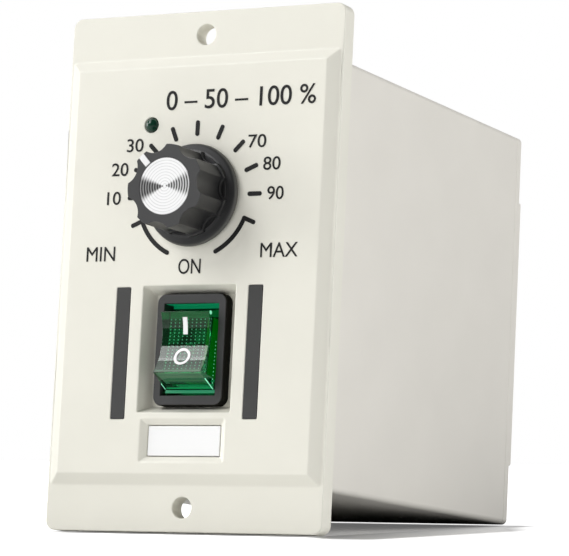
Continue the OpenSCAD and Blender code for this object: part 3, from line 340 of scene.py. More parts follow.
def lit_plastic(name, base, roughness, glow, strength=1.0):
    """Clear plastic that gives a little light of its own: the glow is painted light, which stands in for the
    light and glints seen in the clear rocker and its window.
    """
    finish = moulded(name, base, roughness, emission_color=glow)
    finish.set("Emission Strength", strength)
    return finish


def banded_plastic(name):
    """The glowing wall at the rocker's lower end, painted light in soft bands from front to back."""
    finish = lit_plastic(name, (0.16, 0.18, 0.12), 0.35, (0.16, 0.13, 0.15))
    bands = finish.math("SINE", finish.axes()[1] * (2 * math.pi / END_BAND_MM)) * 0.5 + 0.5
    finish.set("Emission Color", finish.blend(bands, (0.16, 0.13, 0.15), (0.80, 0.22, 0.22)))
    return finish


ivory = moulded("ivory_moulding", (0.80, 0.785, 0.70), 0.40)
ivory_case = moulded("ivory_case", (0.79, 0.765, 0.705), 0.36)
knob_grey = knob_plastic("knob_grey")
bezel_grey = bezel_plastic("bezel_grey")
bar_grey = moulded("bar_grey", (0.034, 0.034, 0.033), 0.60, specular_ior_level=0.6)
black_moulding = moulded("black_moulding", (0.018, 0.018, 0.019), 0.42)
plate_white = moulded("plate_white", (0.93, 0.93, 0.93), 0.30, cloud=0.01)
white_ink = moulded("white_ink", (0.88, 0.88, 0.88), 0.35, grain_mm=0.1)
black_ink = moulded("black_ink", (0.008, 0.008, 0.008), 0.75, grain_mm=0.1)
pointer_white = moulded("pointer_white", (0.86, 0.86, 0.86), 0.35)
cap_metal = spun_metal("spun_cap", (0.94, 0.94, 0.94), 0.58, 5.6)
rocker_green = clear_green("rocker_green")
# These glowing finishes are painted light and painted glints, not lamps.
prism_green = lit_plastic("prism_green", (0.55, 0.75, 0.70), 0.2, (1.0, 0.40, 0.50), 1.05)
painted_edge_glint = lit_plastic("painted_edge_glint", (0.30, 0.70, 0.50), 0.2, (0.10, 0.45, 0.27))
strip_green = lit_plastic("strip_green", (0.02, 0.30, 0.15), 0.25, (0.10, 0.42, 0.26))
shoulder_green = lit_plastic("shoulder_green", (0.01, 0.16, 0.08), 0.25, (0.0, 0.125, 0.048))
side_green = lit_plastic("side_green", (0.0, 0.08, 0.004), 0.25, (0.0, 0.16, 0.006))
end_green = banded_plastic("end_green")
lamp_green = Finish("lamp_green", (0.002, 0.040, 0.020), roughness=0.12)
lamp_green.relief(lamp_green.noise(0.8, 2.0), 0.01)
steel = plated("zinc_steel", (0.60, 0.60, 0.59))
brass = plated("brass", (0.66, 0.47, 0.20))
copper = plated("tinned_copper", (0.62, 0.58, 0.52))
black_metal = plated("anodised_black", (0.04, 0.04, 0.042), 0.42)
laminate = moulded("brown_laminate", (0.28, 0.13, 0.05), 0.5)
ferrite = moulded("ferrite", (0.055, 0.053, 0.052), 0.6, grain_mm=0.4, grain_depth_mm=0.02)
ceramic = moulded("ceramic", (0.78, 0.77, 0.72), 0.6, grain_mm=0.3, grain_depth_mm=0.02)
amber = moulded("amber_film", (0.48, 0.24, 0.03), 0.2, coat_weight=0.6)
blue_sleeve = moulded("blue_sleeve", (0.025, 0.045, 0.16), 0.25, coat_weight=0.4)
tape = moulded("coil_tape", (0.62, 0.42, 0.06), 0.4)
fuse_glass = Finish("fuse_glass", (0.8, 0.88, 0.9), roughness=0.05, transmission_weight=0.8)
fuse_glass.relief(fuse_glass.noise(2.0, 1.0), 0.005)
solder_mask = moulded("solder_mask", (0.015, 0.12, 0.045), 0.3, coat_weight=0.3)

NODE_FINISHES = {
    ivory: ["front_panel"],
    ivory_case: ["case_shell", "rear_cover"],
    knob_grey: ["knob_body"],
    bezel_grey: ["switch_housing"],
    bar_grey: ["panel_bars"],
    black_moulding: ["terminal_block", "board_header", "control_chip", "power_devices"],
    plate_white: ["blank_plate", "rocker_plunger"],
    white_ink: ["rocker_marks"],
    black_ink: ["dial_scale"],
    pointer_white: ["knob_pointer"],
    cap_metal: ["knob_cap"],
    rocker_green: ["switch_rocker"],
    lamp_green: ["indicator_lamp", "rocker_lamp"],
    steel: [
        "rear_cover_screws", "terminal_screws", "terminal_strips", "board_screws", "device_screws",
        "pot_shaft", "pot_nut", "pot_washer", "pot_can", "knob_grub_screw", "plunger_spring",
    ],
    brass: ["pot_bush", "fuse_clips", "terminal_clamps", "contact_blade", "switch_terminals", "header_pins"],
    copper: ["lamp_leads", "pot_leads"],
    black_metal: ["heat_sink"],
    laminate: ["pot_track", "pot_wiper"],
    ferrite: ["transformer_core"],
    ceramic: ["load_resistor"],
    amber: ["film_capacitor"],
    blue_sleeve: ["smoothing_capacitor"],
    tape: ["transformer_coil"],
    fuse_glass: ["fuse"],
    solder_mask: ["control_board", "power_board"],
}


def give(piece, finish):
    """Gives a piece one finish in place of any it had."""
    piece.data.materials.clear()
    piece.data.materials.append(finish.material)


def add_piece(name, mesh, body, finish):
    """A new piece of a finished mesh, riding on a body."""
    piece = bpy.data.objects.new(name, mesh)
    scene.collection.objects.link(piece)
    give(piece, finish)
    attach(piece, body)
    return piece


for finish, names in NODE_FINISHES.items():
    for name in names:
        give(frame["nodes"][name], finish)


# Pieces


# How near points of a CAD mesh count as one, how near points count as lying on a cut, the bend under which
# faces count as one, and the bends from which an edge is sharp on a piece and on a bead
MERGE_DIST = 0.002 * MM
CUT_DIST = 0.001 * MM
FLAT_DEGREES = 0.5
SHARP_DEGREES = 28
BEAD_SHARP_DEGREES = 60


def settle(name, work, body, finish, sharp_degrees=SHARP_DEGREES):
    """Makes an object of a finished bmesh, shaded smooth but for its sharp edges, and rides it on a body."""
    mesh = bpy.data.meshes.new(name)
    work.to_mesh(mesh)
    work.free()
    mesh.shade_smooth()
    mesh.set_sharp_from_angle(angle=math.radians(sharp_degrees))
    piece = add_piece(name, mesh, body, finish)
    weigh = piece.modifiers.new("weigh", "WEIGHTED_NORMAL")
    weigh.keep_sharp = True
    weigh.weight = 100
    return piece


def merged_copy(node):
    """A bmesh of a CAD node with its loose triangles joined."""
    work = bmesh.new()
    work.from_mesh(frame["nodes"][node].data)
    bmesh.ops.remove_doubles(work, verts=work.verts, dist=MERGE_DIST)
    return work


def everything(work):
    """All of a bmesh, as the cutting operators want it."""
    return work.verts[:] + work.edges[:] + work.faces[:]


def rounded_copy(node, name, body, finish, roundings, cuts=()):
    """A copy of a CAD node with its sharp edges rounded, which stands for it.

    Each rounding is (radius in mm, segments, a test of an edge's middle point in mm or None).
    The cuts are heights where flat faces are divided, so that none of them goes round a hole.
    """
    work = merged_copy(node)
    kept = set()
    for height in cuts:
        split = bmesh.ops.bisect_plane(
            work, geom=everything(work), dist=CUT_DIST, plane_co=(0, 0, height), plane_no=(0, 0, 1),
        )
        kept.update(split["geom_cut"])
    bmesh.ops.dissolve_limit(
        work, angle_limit=math.radians(FLAT_DEGREES), delimit={"NORMAL"},
        verts=[v for v in work.verts if v not in kept],
        edges=[e for e in work.edges if e not in kept],
    )
    for radius_mm, segments, wanted in roundings:
        edges = []
        for edge in work.edges:
            middle = (edge.verts[0].co + edge.verts[1].co) / 2 / MM
            if edge.is_manifold and edge.calc_face_angle() > math.radians(SHARP_DEGREES):
                if wanted is None or wanted(middle):
                    edges.append(edge)
        bmesh.ops.bevel(
            work, geom=edges, offset=radius_mm * MM, offset_type="OFFSET", affect="EDGES",
            segments=segments, profile=0.5, material=-1, clamp_overlap=False, miter_outer="ARC",
            face_strength_mode="ALL",
        )
    piece = settle(name, work, body, finish)
    piece.modifiers["weigh"].use_face_influence = True
    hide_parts(node)


def lettering(name, words, left_mm, right_mm, base_mm, height_mm, swell, face_y=FACE_Y, outward=-1):
    """Black printed words, stretched to run from left to right and stand height_mm tall.

    They lie on the panel's face, or on another face at face_y that looks outward along Y. The swell makes
    them bolder, by a share of the letters' size.
    """
    curve = bpy.data.curves.new(name, "FONT")
    curve.body = words
    curve.extrude = 1
    curve.offset = swell
    made = bpy.data.objects.new(name, curve)
    scene.collection.objects.link(made)
    bpy.context.view_layer.update()
    mesh = bpy.data.meshes.new_from_object(made.evaluated_get(bpy.context.evaluated_depsgraph_get()))
    bpy.data.objects.remove(made)
    corners = [v.co for v in mesh.vertices]
    low = Vector([min(c[i] for c in corners) for i in range(3)])
    high = Vector([max(c[i] for c in corners) for i in range(3)])
    for vertex in mesh.vertices:
        across = (vertex.co.x - low.x) / (high.x - low.x)
        up = (vertex.co.y - low.y) / (high.y - low.y)
        out = (vertex.co.z - low.z) / (high.z - low.z)
        vertex.co = (
            (left_mm + across * (right_mm - left_mm)) * MM,
            face_y + outward * out * INK,
            (base_mm + up * height_mm) * MM,
        )
    add_piece(name, mesh, "housing", black_ink)


# The radius of each copy's rounded edges, in mm
PANEL_EDGE_R, CASE_EDGE_R, BEZEL_EDGE_R, ROCKER_EDGE_R = 0.25, 0.2, 0.12, 0.13
KNOB_RIM_EDGE_R, KNOB_EDGE_R = 0.5, 0.09
TERMINAL_EDGE_R, PLATE_EDGE_R = 0.15, 0.12

# Where the panel's edges that show end, just behind its seating face, and where the knob's rim begins, in mm
SEAT_BEHIND_Y = 0.1
KNOB_RIM_R = 9.9


def panel_front(at):
    """The panel's edges that show, from its seating face forward."""
    return at.y < SEAT_BEHIND_Y


def bezel_front(at):
    """The switch's edges in front of the seating face, which are its bezel's."""
    return at.y < 0


def knob_rim(at):
    """The knob's outer rim, front and rear."""
    return math.hypot(at.x, at.z - DIAL.z / MM) > KNOB_RIM_R


rounded_copy(
    "front_panel", "panel_moulding", "housing", ivory, [(PANEL_EDGE_R, 3, panel_front)],
    cuts=[HOLE_HALF_PITCH, LAMP.z, DIAL.z, BEZEL_MIDDLE.z, PLATE_MIDDLE.z, -HOLE_HALF_PITCH],
)
rounded_copy("case_shell", "case_moulding", "housing", ivory_case, [(CASE_EDGE_R, 2, None)])
rounded_copy("rear_cover", "cover_moulding", "housing", ivory_case, [(CASE_EDGE_R, 2, None)])
rounded_copy("switch_housing", "bezel_moulding", "housing", bezel_grey, [(BEZEL_EDGE_R, 2, bezel_front)])
rounded_copy("switch_rocker", "rocker_moulding", "rocker", rocker_green, [(ROCKER_EDGE_R, 3, None)])
rounded_copy(
    "knob_body", "knob_moulding", "knob", knob_grey,
    [(KNOB_RIM_EDGE_R, 4, knob_rim), (KNOB_EDGE_R, 2, lambda at: not knob_rim(at))],
)
rounded_copy(
    "terminal_block", "terminal_moulding", "housing", black_moulding, [(TERMINAL_EDGE_R, 2, None)],
)
rounded_copy("blank_plate", "plate_moulding", "housing", plate_white, [(PLATE_EDGE_R, 2, None)])


# The rocker's pivot bore in the bezel, the plane of the bezel's rear edge, and the plugs' play, in mm
TRUNNION_ROOM_R = 1.15
BEZEL_SEAT_Y = -1.47
PLUG_INNER_GAP, PLUG_OUTER_INSET = 0.1, 0.01
PLUG_SIDES = 48


def bezel_plugs():
    """Fills of the two notches that the rocker's pivot bore leaves in the bezel's rear edge."""
    work = bmesh.new()
    inner = ROCKER_HIGH.x + PLUG_INNER_GAP * MM
    outer = BEZEL_HIGH.x - PLUG_OUTER_INSET * MM
    for side in (-1, 1):
        place = Matrix.Translation((side * (inner + outer) / 2, ROCKER_PIVOT.y, ROCKER_PIVOT.z))
        bmesh.ops.create_cone(
            work, cap_ends=True, segments=PLUG_SIDES, depth=outer - inner,
            radius1=TRUNNION_ROOM_R * MM, radius2=TRUNNION_ROOM_R * MM,
            matrix=place @ Matrix.Rotation(math.pi / 2, 4, "Y"),
        )
    bmesh.ops.bisect_plane(
        work, geom=everything(work), plane_co=(0, BEZEL_SEAT_Y * MM, 0), plane_no=(0, 1, 0),
        clear_outer=True,
    )
    bmesh.ops.holes_fill(work, edges=work.edges)
    settle("bezel_plugs", work, "housing", bezel_grey)


# The knob's fluted outline, and the step under it, in mm
KNOB_FLUTES, FLUTE_R, FLUTE_BOTTOM_R, CREST_R = 7, 3.42, 7.1, 8.35
KNOB_POINTS_TO = math.radians(132.5)
PAD_OFFSET, PAD_FRONT_Y, PAD_BACK_Y = 0.40, -8.6, -7.3
PAD_HUB_R = FLUTE_BOTTOM_R - 0.3
PAD_EDGE_R = 0.1
PAD_STEPS = 504


def pad_radius(angle):
    """The step's outline: the knob's fluted outline moved out by PAD_OFFSET."""
    off = (angle - KNOB_POINTS_TO) % (2 * math.pi / KNOB_FLUTES) - math.pi / KNOB_FLUTES
    centre_r = FLUTE_BOTTOM_R + FLUTE_R
    reach = (FLUTE_R - PAD_OFFSET) ** 2 - (centre_r * math.sin(off)) ** 2
    crest = CREST_R + PAD_OFFSET
    return min(crest, centre_r * math.cos(off) - math.sqrt(reach)) if reach > 0 else crest


def pad_hub_radius(angle):
    """The step's inner outline, a plain circle hidden under the grip."""
    return PAD_HUB_R


def knob_pad():
    """The narrow step that the knob's fluted part stands on, with its outline a little outside the flutes."""
    work = bmesh.new()

    def place_ring(verts, radius_at, y_mm):
        """Moves a ring's points out to an outline, in the plane at y_mm."""
        for vertex in verts:
            angle = math.atan2(vertex.co.z - DIAL.z, vertex.co.x)
            radius = radius_at(angle) * MM
            vertex.co = (radius * math.cos(angle), y_mm * MM, radius * math.sin(angle) + DIAL.z)

    def grow_ring(edges, radius_at, y_mm):
        """Draws a band of faces from a ring to an outline, and gives the ring that it ends in."""
        grown = bmesh.ops.extrude_edge_only(work, edges=edges)["geom"]
        place_ring([g for g in grown if isinstance(g, bmesh.types.BMVert)], radius_at, y_mm)
        return [g for g in grown if isinstance(g, bmesh.types.BMEdge) and len(g.link_faces) == 1]

    bmesh.ops.create_circle(
        work, segments=PAD_STEPS, radius=CREST_R * MM,
        matrix=Matrix.Translation((0, 0, DIAL.z)) @ Matrix.Rotation(math.pi / 2, 4, "X"),
    )
    front = work.edges[:]
    place_ring(work.verts[:], pad_radius, PAD_FRONT_Y)
    back = grow_ring(front, pad_radius, PAD_BACK_Y)
    hub_front = grow_ring(front, pad_hub_radius, PAD_FRONT_Y)
    hub_back = grow_ring(hub_front, pad_hub_radius, PAD_BACK_Y)
    bmesh.ops.bridge_loops(work, edges=back + hub_back)
    bmesh.ops.recalc_face_normals(work, faces=work.faces)
    bmesh.ops.bevel(
        work, geom=front, offset=PAD_EDGE_R * MM, offset_type="OFFSET", affect="EDGES", segments=2,
        profile=0.5, material=-1,
    )
    settle("knob_pad", work, "knob", knob_grey)


# The printed scale, in mm: how far the ink spreads past the CAD's lines, where the ticks begin, the length of
# a tick that is left as it is, and the share that is kept of what lies beyond that
INK_SPREAD = 0.09
TICK_INNER_R = 12.1
TICK_ROOT = 1
TICK_SHARE = 0.85


def bold_scale():
    """The printed ticks and arcs, bolder and with shorter ticks, which stand for the CAD scale."""
    work = merged_copy("dial_scale")
    work.normal_update()
    for vertex in work.verts:
        outward = Vector((vertex.normal.x, 0, vertex.normal.z))
        if outward.length > 0:
            vertex.co += outward.normalized() * INK_SPREAD * MM
        across = Vector((vertex.co.x, 0, vertex.co.z - DIAL.z))
        beyond = across.length - TICK_INNER_R * MM
        if beyond > TICK_ROOT * MM:
            vertex.co -= across.normalized() * (beyond - TICK_ROOT * MM) * (1 - TICK_SHARE)
    piece = settle("bold_scale", work, "housing", black_ink)
    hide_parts("dial_scale")


bezel_plugs()
knob_pad()
bold_scale()


ROCKER_TURN = Matrix.Rotation(-ROCKER_LEAN, 4, "X")


def in_rocker(x_mm, y_mm, z_mm):
    """A point given from the rocker's pivot with the rocker level, where it lies at rest."""
    return ROCKER_PIVOT + ROCKER_TURN.to_3x3() @ Vector((x_mm, y_mm, z_mm)) * MM


def bead(work, at, radius_mm, stretch):
    """One small bead, stretched along the rocker's X, Y and Z."""
    place = Matrix.Translation(at) @ ROCKER_TURN @ Matrix.Diagonal((*stretch, 1))
    bmesh.ops.create_uvsphere(work, u_segments=10, v_segments=6, radius=radius_mm * MM, matrix=place)


def slab(work, low, high):
    """A block between two corners in mm from the rocker's pivot."""
    size = [(high[i] - low[i]) * MM for i in range(3)]
    middle = [(high[i] + low[i]) / 2 for i in range(3)]
    place = Matrix.Translation(in_rocker(*middle)) @ ROCKER_TURN @ Matrix.Diagonal((*size, 1))
    bmesh.ops.create_cube(work, size=1, matrix=place)


def sliver(work, start, end, radius_mm):
    """A thin six-sided rod between two points in mm from the rocker's pivot."""
    first, last = in_rocker(*start), in_rocker(*end)
    along = last - first
    place = Matrix.Translation((first + last) / 2) @ along.to_track_quat("Z", "Y").to_matrix().to_4x4()
    bmesh.ops.create_cone(
        work, cap_ends=True, segments=6, radius1=radius_mm * MM, radius2=radius_mm * MM,
        depth=along.length, matrix=place,
    )


# The rocker's head in mm from its pivot: half its width, the lower edge of its front, and the foot of the
# slope that runs from there back to the rocker's shoulder
HEAD_HALF_W = 5.35
HEAD_FRONT_Y, HEAD_FRONT_Z = -6.95, -6.2
SHOULDER_Y, SHOULDER_Z = -1.1, -8.15

# The prisms inside its front wall
PRISM_COLUMNS, PRISM_ROWS = 9, 16
PRISM_PITCH_X, PRISM_PITCH_Z = 0.953, 0.72
PRISM_DEPTH = -4.3
PRISM_R, PRISM_STRETCH = 0.125, (1, 0.7, 1.2)

# The beads of painted glint, which glow: a row that runs down its right side and slants back, and one at its
# top right corner
SIDE_BEADS, SIDE_BEAD_PITCH, SIDE_BEAD_SLANT = 12, 0.74, 0.08
SIDE_BEAD_Y, SIDE_BEAD_TOP_Z = -2.4, 1.17
SIDE_BEAD_R, SIDE_BEAD_STRETCH = 0.13, (0.7, 1, 1)
CORNER_BEAD_Y, CORNER_BEAD_Z = -5.85, 6.2
CORNER_BEAD_R, CORNER_BEAD_STRETCH = 0.40, (0.2, 1.3, 1)
BEAD_INSET = 0.02

# The painted highlights along its lower edges, thin glowing rods: the side each is on, the shares of the
# slope it runs between, and its radius
BRIGHT_EDGES = (
    (HEAD_HALF_W, 0.36, 0.97, 0.11),
    (-HEAD_HALF_W, 0.66, 0.97, 0.08),
)

# The glowing strips of painted light across it: the depths they lie between, and the left, right, bottom and
# top of each
STRIP_FRONT_Y, STRIP_BACK_Y = -1.35, -1.15
SHOULDER_STRIPS = (
    (-5.8, 5.8, 8.4, 8.9),
    (-5.2, 4.4, 6.6, 8.05),
    (-5.2, 5.8, -8.9, -8.3),
)
FOOT_STRIP = (-5.0, 5.2, -7.85, -7.5)

# The glowing walls of painted light inside its head, each from its low corner to its high one
LINING_CORNERS = ((4.1, -3.6, -5.8), (4.3, 1.0, 5.8))
END_CORNERS = ((-5.0, -6.2, -6.0), (5.0, -1.4, -5.85))


def rocker_prisms():
    """Rows of small prisms moulded inside the rocker's front wall, whose glow is painted highlight."""
    work = bmesh.new()
    for column in range(PRISM_COLUMNS):
        for row in range(PRISM_ROWS):
            x = (column - (PRISM_COLUMNS - 1) / 2) * PRISM_PITCH_X
            z = (row - (PRISM_ROWS - 1) / 2) * PRISM_PITCH_Z
            bead(work, in_rocker(x, PRISM_DEPTH, z), PRISM_R, PRISM_STRETCH)
    settle("rocker_prisms", work, "rocker", prism_green, BEAD_SHARP_DEGREES)


def on_slope(x, share):
    """A point on the slope under the rocker's head, 0 at the front's lower edge and 1 at its foot."""
    y = HEAD_FRONT_Y + (SHOULDER_Y - HEAD_FRONT_Y) * share
    z = HEAD_FRONT_Z + (SHOULDER_Z - HEAD_FRONT_Z) * share
    return x, y, z


def rocker_edges():
    """Painted glints: glowing beads on the right side of the rocker's head, and glowing rods along the edges
    of its lower end.
    """
    work = bmesh.new()
    bead_x = HEAD_HALF_W - BEAD_INSET
    for step in range(SIDE_BEADS):
        down = step * SIDE_BEAD_PITCH
        at = in_rocker(bead_x, SIDE_BEAD_Y + SIDE_BEAD_SLANT * down, SIDE_BEAD_TOP_Z - down)
        bead(work, at, SIDE_BEAD_R, SIDE_BEAD_STRETCH)
    bead(work, in_rocker(bead_x, CORNER_BEAD_Y, CORNER_BEAD_Z), CORNER_BEAD_R, CORNER_BEAD_STRETCH)
    for x, first, last, radius in BRIGHT_EDGES:
        sliver(work, on_slope(x, first), on_slope(x, last), radius)
    settle("rocker_edges", work, "rocker", painted_edge_glint, BEAD_SHARP_DEGREES)


def strip(work, left, right, bottom, top):
    """A flat strip of painted light across the rocker."""
    slab(work, (left, STRIP_FRONT_Y, bottom), (right, STRIP_BACK_Y, top))


def rocker_shoulders():
    """Glowing strips of painted light on the rocker above and below its head, just inside the window."""
    work = bmesh.new()
    for sides in SHOULDER_STRIPS:
        strip(work, *sides)
    settle("rocker_shoulders", work, "rocker", shoulder_green)


def rocker_strip():
    """A bright glowing strip of painted light at the foot of the rocker's lower end."""
    work = bmesh.new()
    strip(work, *FOOT_STRIP)
    settle("rocker_strip", work, "rocker", strip_green)


def rocker_lining():
    """A glowing strip of painted light inside the right side of the rocker's head."""
    work = bmesh.new()
    slab(work, *LINING_CORNERS)
    settle("rocker_lining", work, "rocker", side_green)


def rocker_end():
    """A glowing wall of painted light inside the lower end of the rocker's head."""
    work = bmesh.new()
    slab(work, *END_CORNERS)
    settle("rocker_end", work, "rocker", end_green)


# The painted light along the top of the switch's window, a glowing strip, in mm, with its heights from the
# bezel's middle
GLOW_LEFT, GLOW_RIGHT = -5.9, 6.1
GLOW_FRONT_Y, GLOW_BACK_Y = -3.6, -0.75
GLOW_BOTTOM, GLOW_TOP = 9.03, 9.1


def window_glow():
    """A glowing strip of painted light under the top edge of the switch's window."""
    low = Vector((GLOW_LEFT * MM, GLOW_FRONT_Y * MM, BEZEL_MIDDLE.z + GLOW_BOTTOM * MM))
    high = Vector((GLOW_RIGHT * MM, GLOW_BACK_Y * MM, BEZEL_MIDDLE.z + GLOW_TOP * MM))
    work = bmesh.new()
    place = Matrix.Translation((low + high) / 2) @ Matrix.Diagonal((*(high - low), 1))
    bmesh.ops.create_cube(work, size=1, matrix=place)
    settle("window_glow", work, "housing", shoulder_green)


rocker_prisms()
rocker_edges()
rocker_shoulders()
rocker_strip()
rocker_lining()
rocker_end()
window_glow()

# Words and numbers, in mm. Each number of the dial gives its left side, its right side and its foot, and each
# caption these, its height and the swell that makes its letters bolder
DIGIT_SWELL = 0.004
DIAL_DIGIT_H = 2.65
DIAL_NUMBERS = (
    ("10", -19.95, -16.8, 13.06),
    ("20", -19.2, -15.4, 18.86),
    ("30", -16.0, -12.2, 23.66),
    ("70", 11.6, 15.6, 23.51),
    ("80", 15.2, 19.0, 18.96),
    ("90", 16.4, 20.0, 13.06),
)
CAPTIONS = (
    ("dial_caption", "0 – 50 – 100 %", -7.4, 26.1, 31.8, 3.95, DIGIT_SWELL),
    ("low_end", "MIN", -24.0, -17.4, 1.7, 2.9, 0),
    ("high_end", "MAX", 15.5, 23.7, 1.7, 2.85, 0),
    ("switch_caption", "ON", -2.7, 2.3, -1.23, 3.0, 0),
)
POLE_DIGIT_H, POLE_DIGIT_RISE = 2.3, 1.3
POLE_ONE_HALF_W, POLE_DIGIT_HALF_W = 0.35, 0.75

for number, left, right, foot in DIAL_NUMBERS:
    lettering(f"number_{number}", number, left, right, foot, DIAL_DIGIT_H, DIGIT_SWELL)
for caption in CAPTIONS:
    lettering(*caption)

for pole in range(1, POLES + 1):
    middle = ((POLES + 1) / 2 - pole) * POLE_PITCH
    half = POLE_ONE_HALF_W if pole == 1 else POLE_DIGIT_HALF_W
    lettering(
        f"terminal_number_{pole}", str(pole), middle + half, middle - half,
        TERMINAL_HIGH.z / MM + POLE_DIGIT_RISE, POLE_DIGIT_H, DIGIT_SWELL, COVER_HIGH.y, 1,
    )


# Studio


def stage_sheet(name, corners, material):
    """A flat sheet of the studio, which isn't part of the object."""
    work = bmesh.new()
    work.faces.new([work.verts.new(c) for c in corners])
    mesh = bpy.data.meshes.new(name)
    work.to_mesh(mesh)
    work.free()
    sheet = bpy.data.objects.new(name, mesh)
    scene.collection.objects.link(sheet)
    mesh.materials.append(material)


# The shade painted on the floor at the case's right side, in mm. Each side of it fades between two values:
# its ends across the picture, its edge at the case, its edge towards the camera, and its front along Y
SHADE_LEFT, SHADE_RIGHT = (22, 26), (71, 65)
SHADE_AT_CASE, SHADE_TO_CAMERA = (-1, 1), (46, 34)
SHADE_FRONT = (-18, -6)
SHADE_DEEP, SHADE_FAINT = 30, 66

# How far from the object, in mm, the floor under it darkens in painted shade, and where the floor ahead lifts
# the face's light
CONTACT_DARK, CONTACT_CLEAR = 0.5, 4
THROWN_NEAR, THROWN_FAR = 5, 40
UNDER_FROM, UNDER_FULL = 40, 90
AHEAD_FROM, AHEAD_FULL = -5, -25
LIFT = 0.47


def pale_floor():
    """Pale where the camera sees it, also through clear plastic, with painted shade beside the case and a
    painted contact shadow round the object, and darker in the light it throws back under the case, a painted
    shade for its underside.
    """
    finish = Finish("pale_floor", grey(0.85), roughness=0.35)
    x, y, _ = finish.axes()
    half_depth = COVER_HIGH.y / MM / 2
    beside = finish.math("MAXIMUM", finish.math("ABSOLUTE", x) - PANEL_HIGH.x / MM, 0)
    before = finish.math("MAXIMUM", finish.math("ABSOLUTE", y - half_depth) - half_depth, 0)
    away = finish.math("SQRT", beside * beside + before * before)
    across = x * CAMERA_RIGHT.x + y * CAMERA_RIGHT.y
    nearer = (x - CASE_HIGH.x / MM) / -CAMERA_FORWARD.x
    shade = math.prod(
        finish.ramp(value, *limits)
        for value, limits in (
            (across, SHADE_LEFT),
            (across, SHADE_RIGHT),
            (nearer, SHADE_AT_CASE),
            (nearer, SHADE_TO_CAMERA),
            (y, SHADE_FRONT),
        )
    )
    shaded = finish.blend(finish.ramp(across, SHADE_DEEP, SHADE_FAINT), grey(0.12), grey(0.40))
    # Painted contact shadow: the floor's colour darkens close round the object.
    lit = finish.blend(finish.ramp(away, CONTACT_DARK, CONTACT_CLEAR), grey(0.12), grey(0.9))
    finish.set("Base Color", finish.blend(shade, grey(0.85), grey(0.22)))
    finish.set("Emission Color", finish.blend(shade, lit, shaded))
    finish.set("Emission Strength", 1)
    seen = finish.node("ShaderNodeLightPath", output="Is Camera Ray")
    through = finish.node("ShaderNodeLightPath", output="Is Transmission Ray")
    spread = finish.node("ShaderNodeLightPath", output="Is Diffuse Ray")
    # Painted shade: under the case's rear the floor throws back almost no light, which darkens the case's
    # underside.
    under = finish.ramp(y, UNDER_FROM, UNDER_FULL) * finish.ramp(away, THROWN_FAR, THROWN_NEAR)
    thrown = finish.blend(under, grey(0.75), grey(0.02))
    dull = finish.node("ShaderNodeBsdfDiffuse", inputs={"Color": thrown})
    ahead = finish.ramp(y, AHEAD_FROM, AHEAD_FULL)
    lift = finish.node("ShaderNodeEmission", inputs={"Strength": ahead * spread * LIFT})
    lifted = finish.node("ShaderNodeAddShader", inputs={0: dull, 1: lift})
    finish.show(finish.mix_over(finish.math("MAXIMUM", seen, through), finish.own(), lifted))
    return finish.material


# The floor: half its side, its gap under the flange, and its slope from the flange to the case's underside
FLOOR_HALF = 1.5
FLOOR_CLEAR = 0.15 * MM
FLOOR_RISE = (CASE_LOW.z - PANEL_LOW.z) / COVER_HIGH.y


def floor_corner(x_side, y_side):
    """One corner of the floor, from the sides it is on."""
    x, y = x_side * FLOOR_HALF, y_side * FLOOR_HALF
    return x, y, PANEL_LOW.z - FLOOR_CLEAR + y * FLOOR_RISE


stage_sheet(
    "floor", [floor_corner(*sides) for sides in ((-1, -1), (1, -1), (1, 1), (-1, 1))], pale_floor(),
)

WORLD_LIGHT = 0.31
WORLD_REFLECTED = 0.10
WORLD_SEEN = 1.0


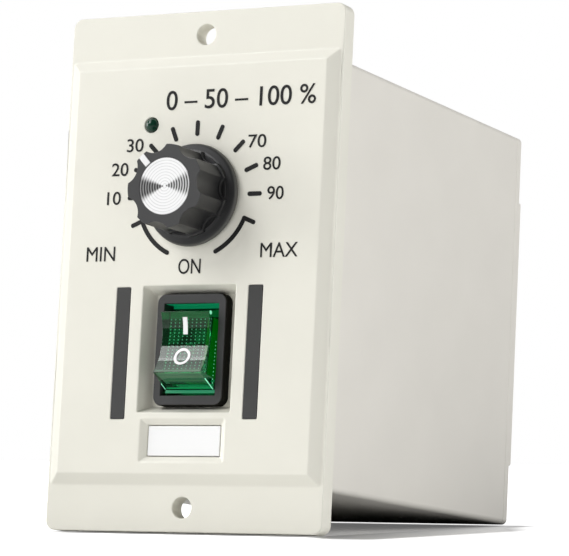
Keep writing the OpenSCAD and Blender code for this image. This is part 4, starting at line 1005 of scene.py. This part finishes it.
def pale_world():
    """White where the camera sees it, and darker in reflections and in the light it gives."""
    world = bpy.data.worlds.new("studio")
    scene.world = world
    world.use_nodes = True
    tree = world.node_tree
    background = tree.nodes["Background"]
    background.inputs["Color"].default_value = (1, 1, 1, 1)
    rays = tree.nodes.new("ShaderNodeLightPath")
    reflected = tree.nodes.new("ShaderNodeMix")
    tree.links.new(rays.outputs["Is Glossy Ray"], reflected.inputs[0])
    reflected.inputs[2].default_value = WORLD_LIGHT
    reflected.inputs[3].default_value = WORLD_REFLECTED
    seen = tree.nodes.new("ShaderNodeMix")
    tree.links.new(rays.outputs["Is Camera Ray"], seen.inputs[0])
    tree.links.new(reflected.outputs[0], seen.inputs[2])
    seen.inputs[3].default_value = WORLD_SEEN
    tree.links.new(seen.outputs[0], background.inputs["Strength"])


pale_world()


def softbox(name, at, aim, width, height, watts):
    """A rectangular area lamp at one point, turned to another. Lengths are in metres."""
    light = bpy.data.lights.new(name, "AREA")
    light.shape = "RECTANGLE"
    light.size = width
    light.size_y = height
    light.energy = watts
    lamp = bpy.data.objects.new(name, light)
    scene.collection.objects.link(lamp)
    lamp.location = at
    lamp.rotation_euler = (Vector(aim) - Vector(at)).to_track_quat("-Z", "Y").to_euler()


# The studio's lamps: where each stands, what it is aimed at, its width, its height and its watts
SOFTBOXES = (
    ("key", (-0.95, -1.33, 1.2), (0, 0, 0), 0.9, 0.9, 16.3),
    ("overhead", (-0.93, -0.62, 1.65), (0, 0, 0), 1.2, 0.8, 7.6),
    ("left", (-1.6, -0.55, 0.35), (0, 0, 0), 0.9, 0.9, 12.6),
    ("fill", (1.5, 0.45, 0.5), (0, 0.04, 0), 1.0, 1.0, 13.5),
)

for settings in SOFTBOXES:
    softbox(*settings)

CLIP_START, CLIP_END = 0.01, 20


def photo_camera():
    """The camera as it stood for the photograph."""
    lens = bpy.data.cameras.new("camera")
    lens.sensor_width = SENSOR_MM
    lens.lens = FOCAL_PIXELS / IMAGE_W * SENSOR_MM
    lens.clip_start = CLIP_START
    lens.clip_end = CLIP_END
    camera = bpy.data.objects.new("camera", lens)
    scene.collection.objects.link(camera)
    turn = Matrix((CAMERA_RIGHT, -CAMERA_DOWN, -CAMERA_FORWARD)).transposed()
    camera.matrix_world = Matrix.Translation(CAMERA_AT) @ turn.to_4x4()
    scene.camera = camera


photo_camera()
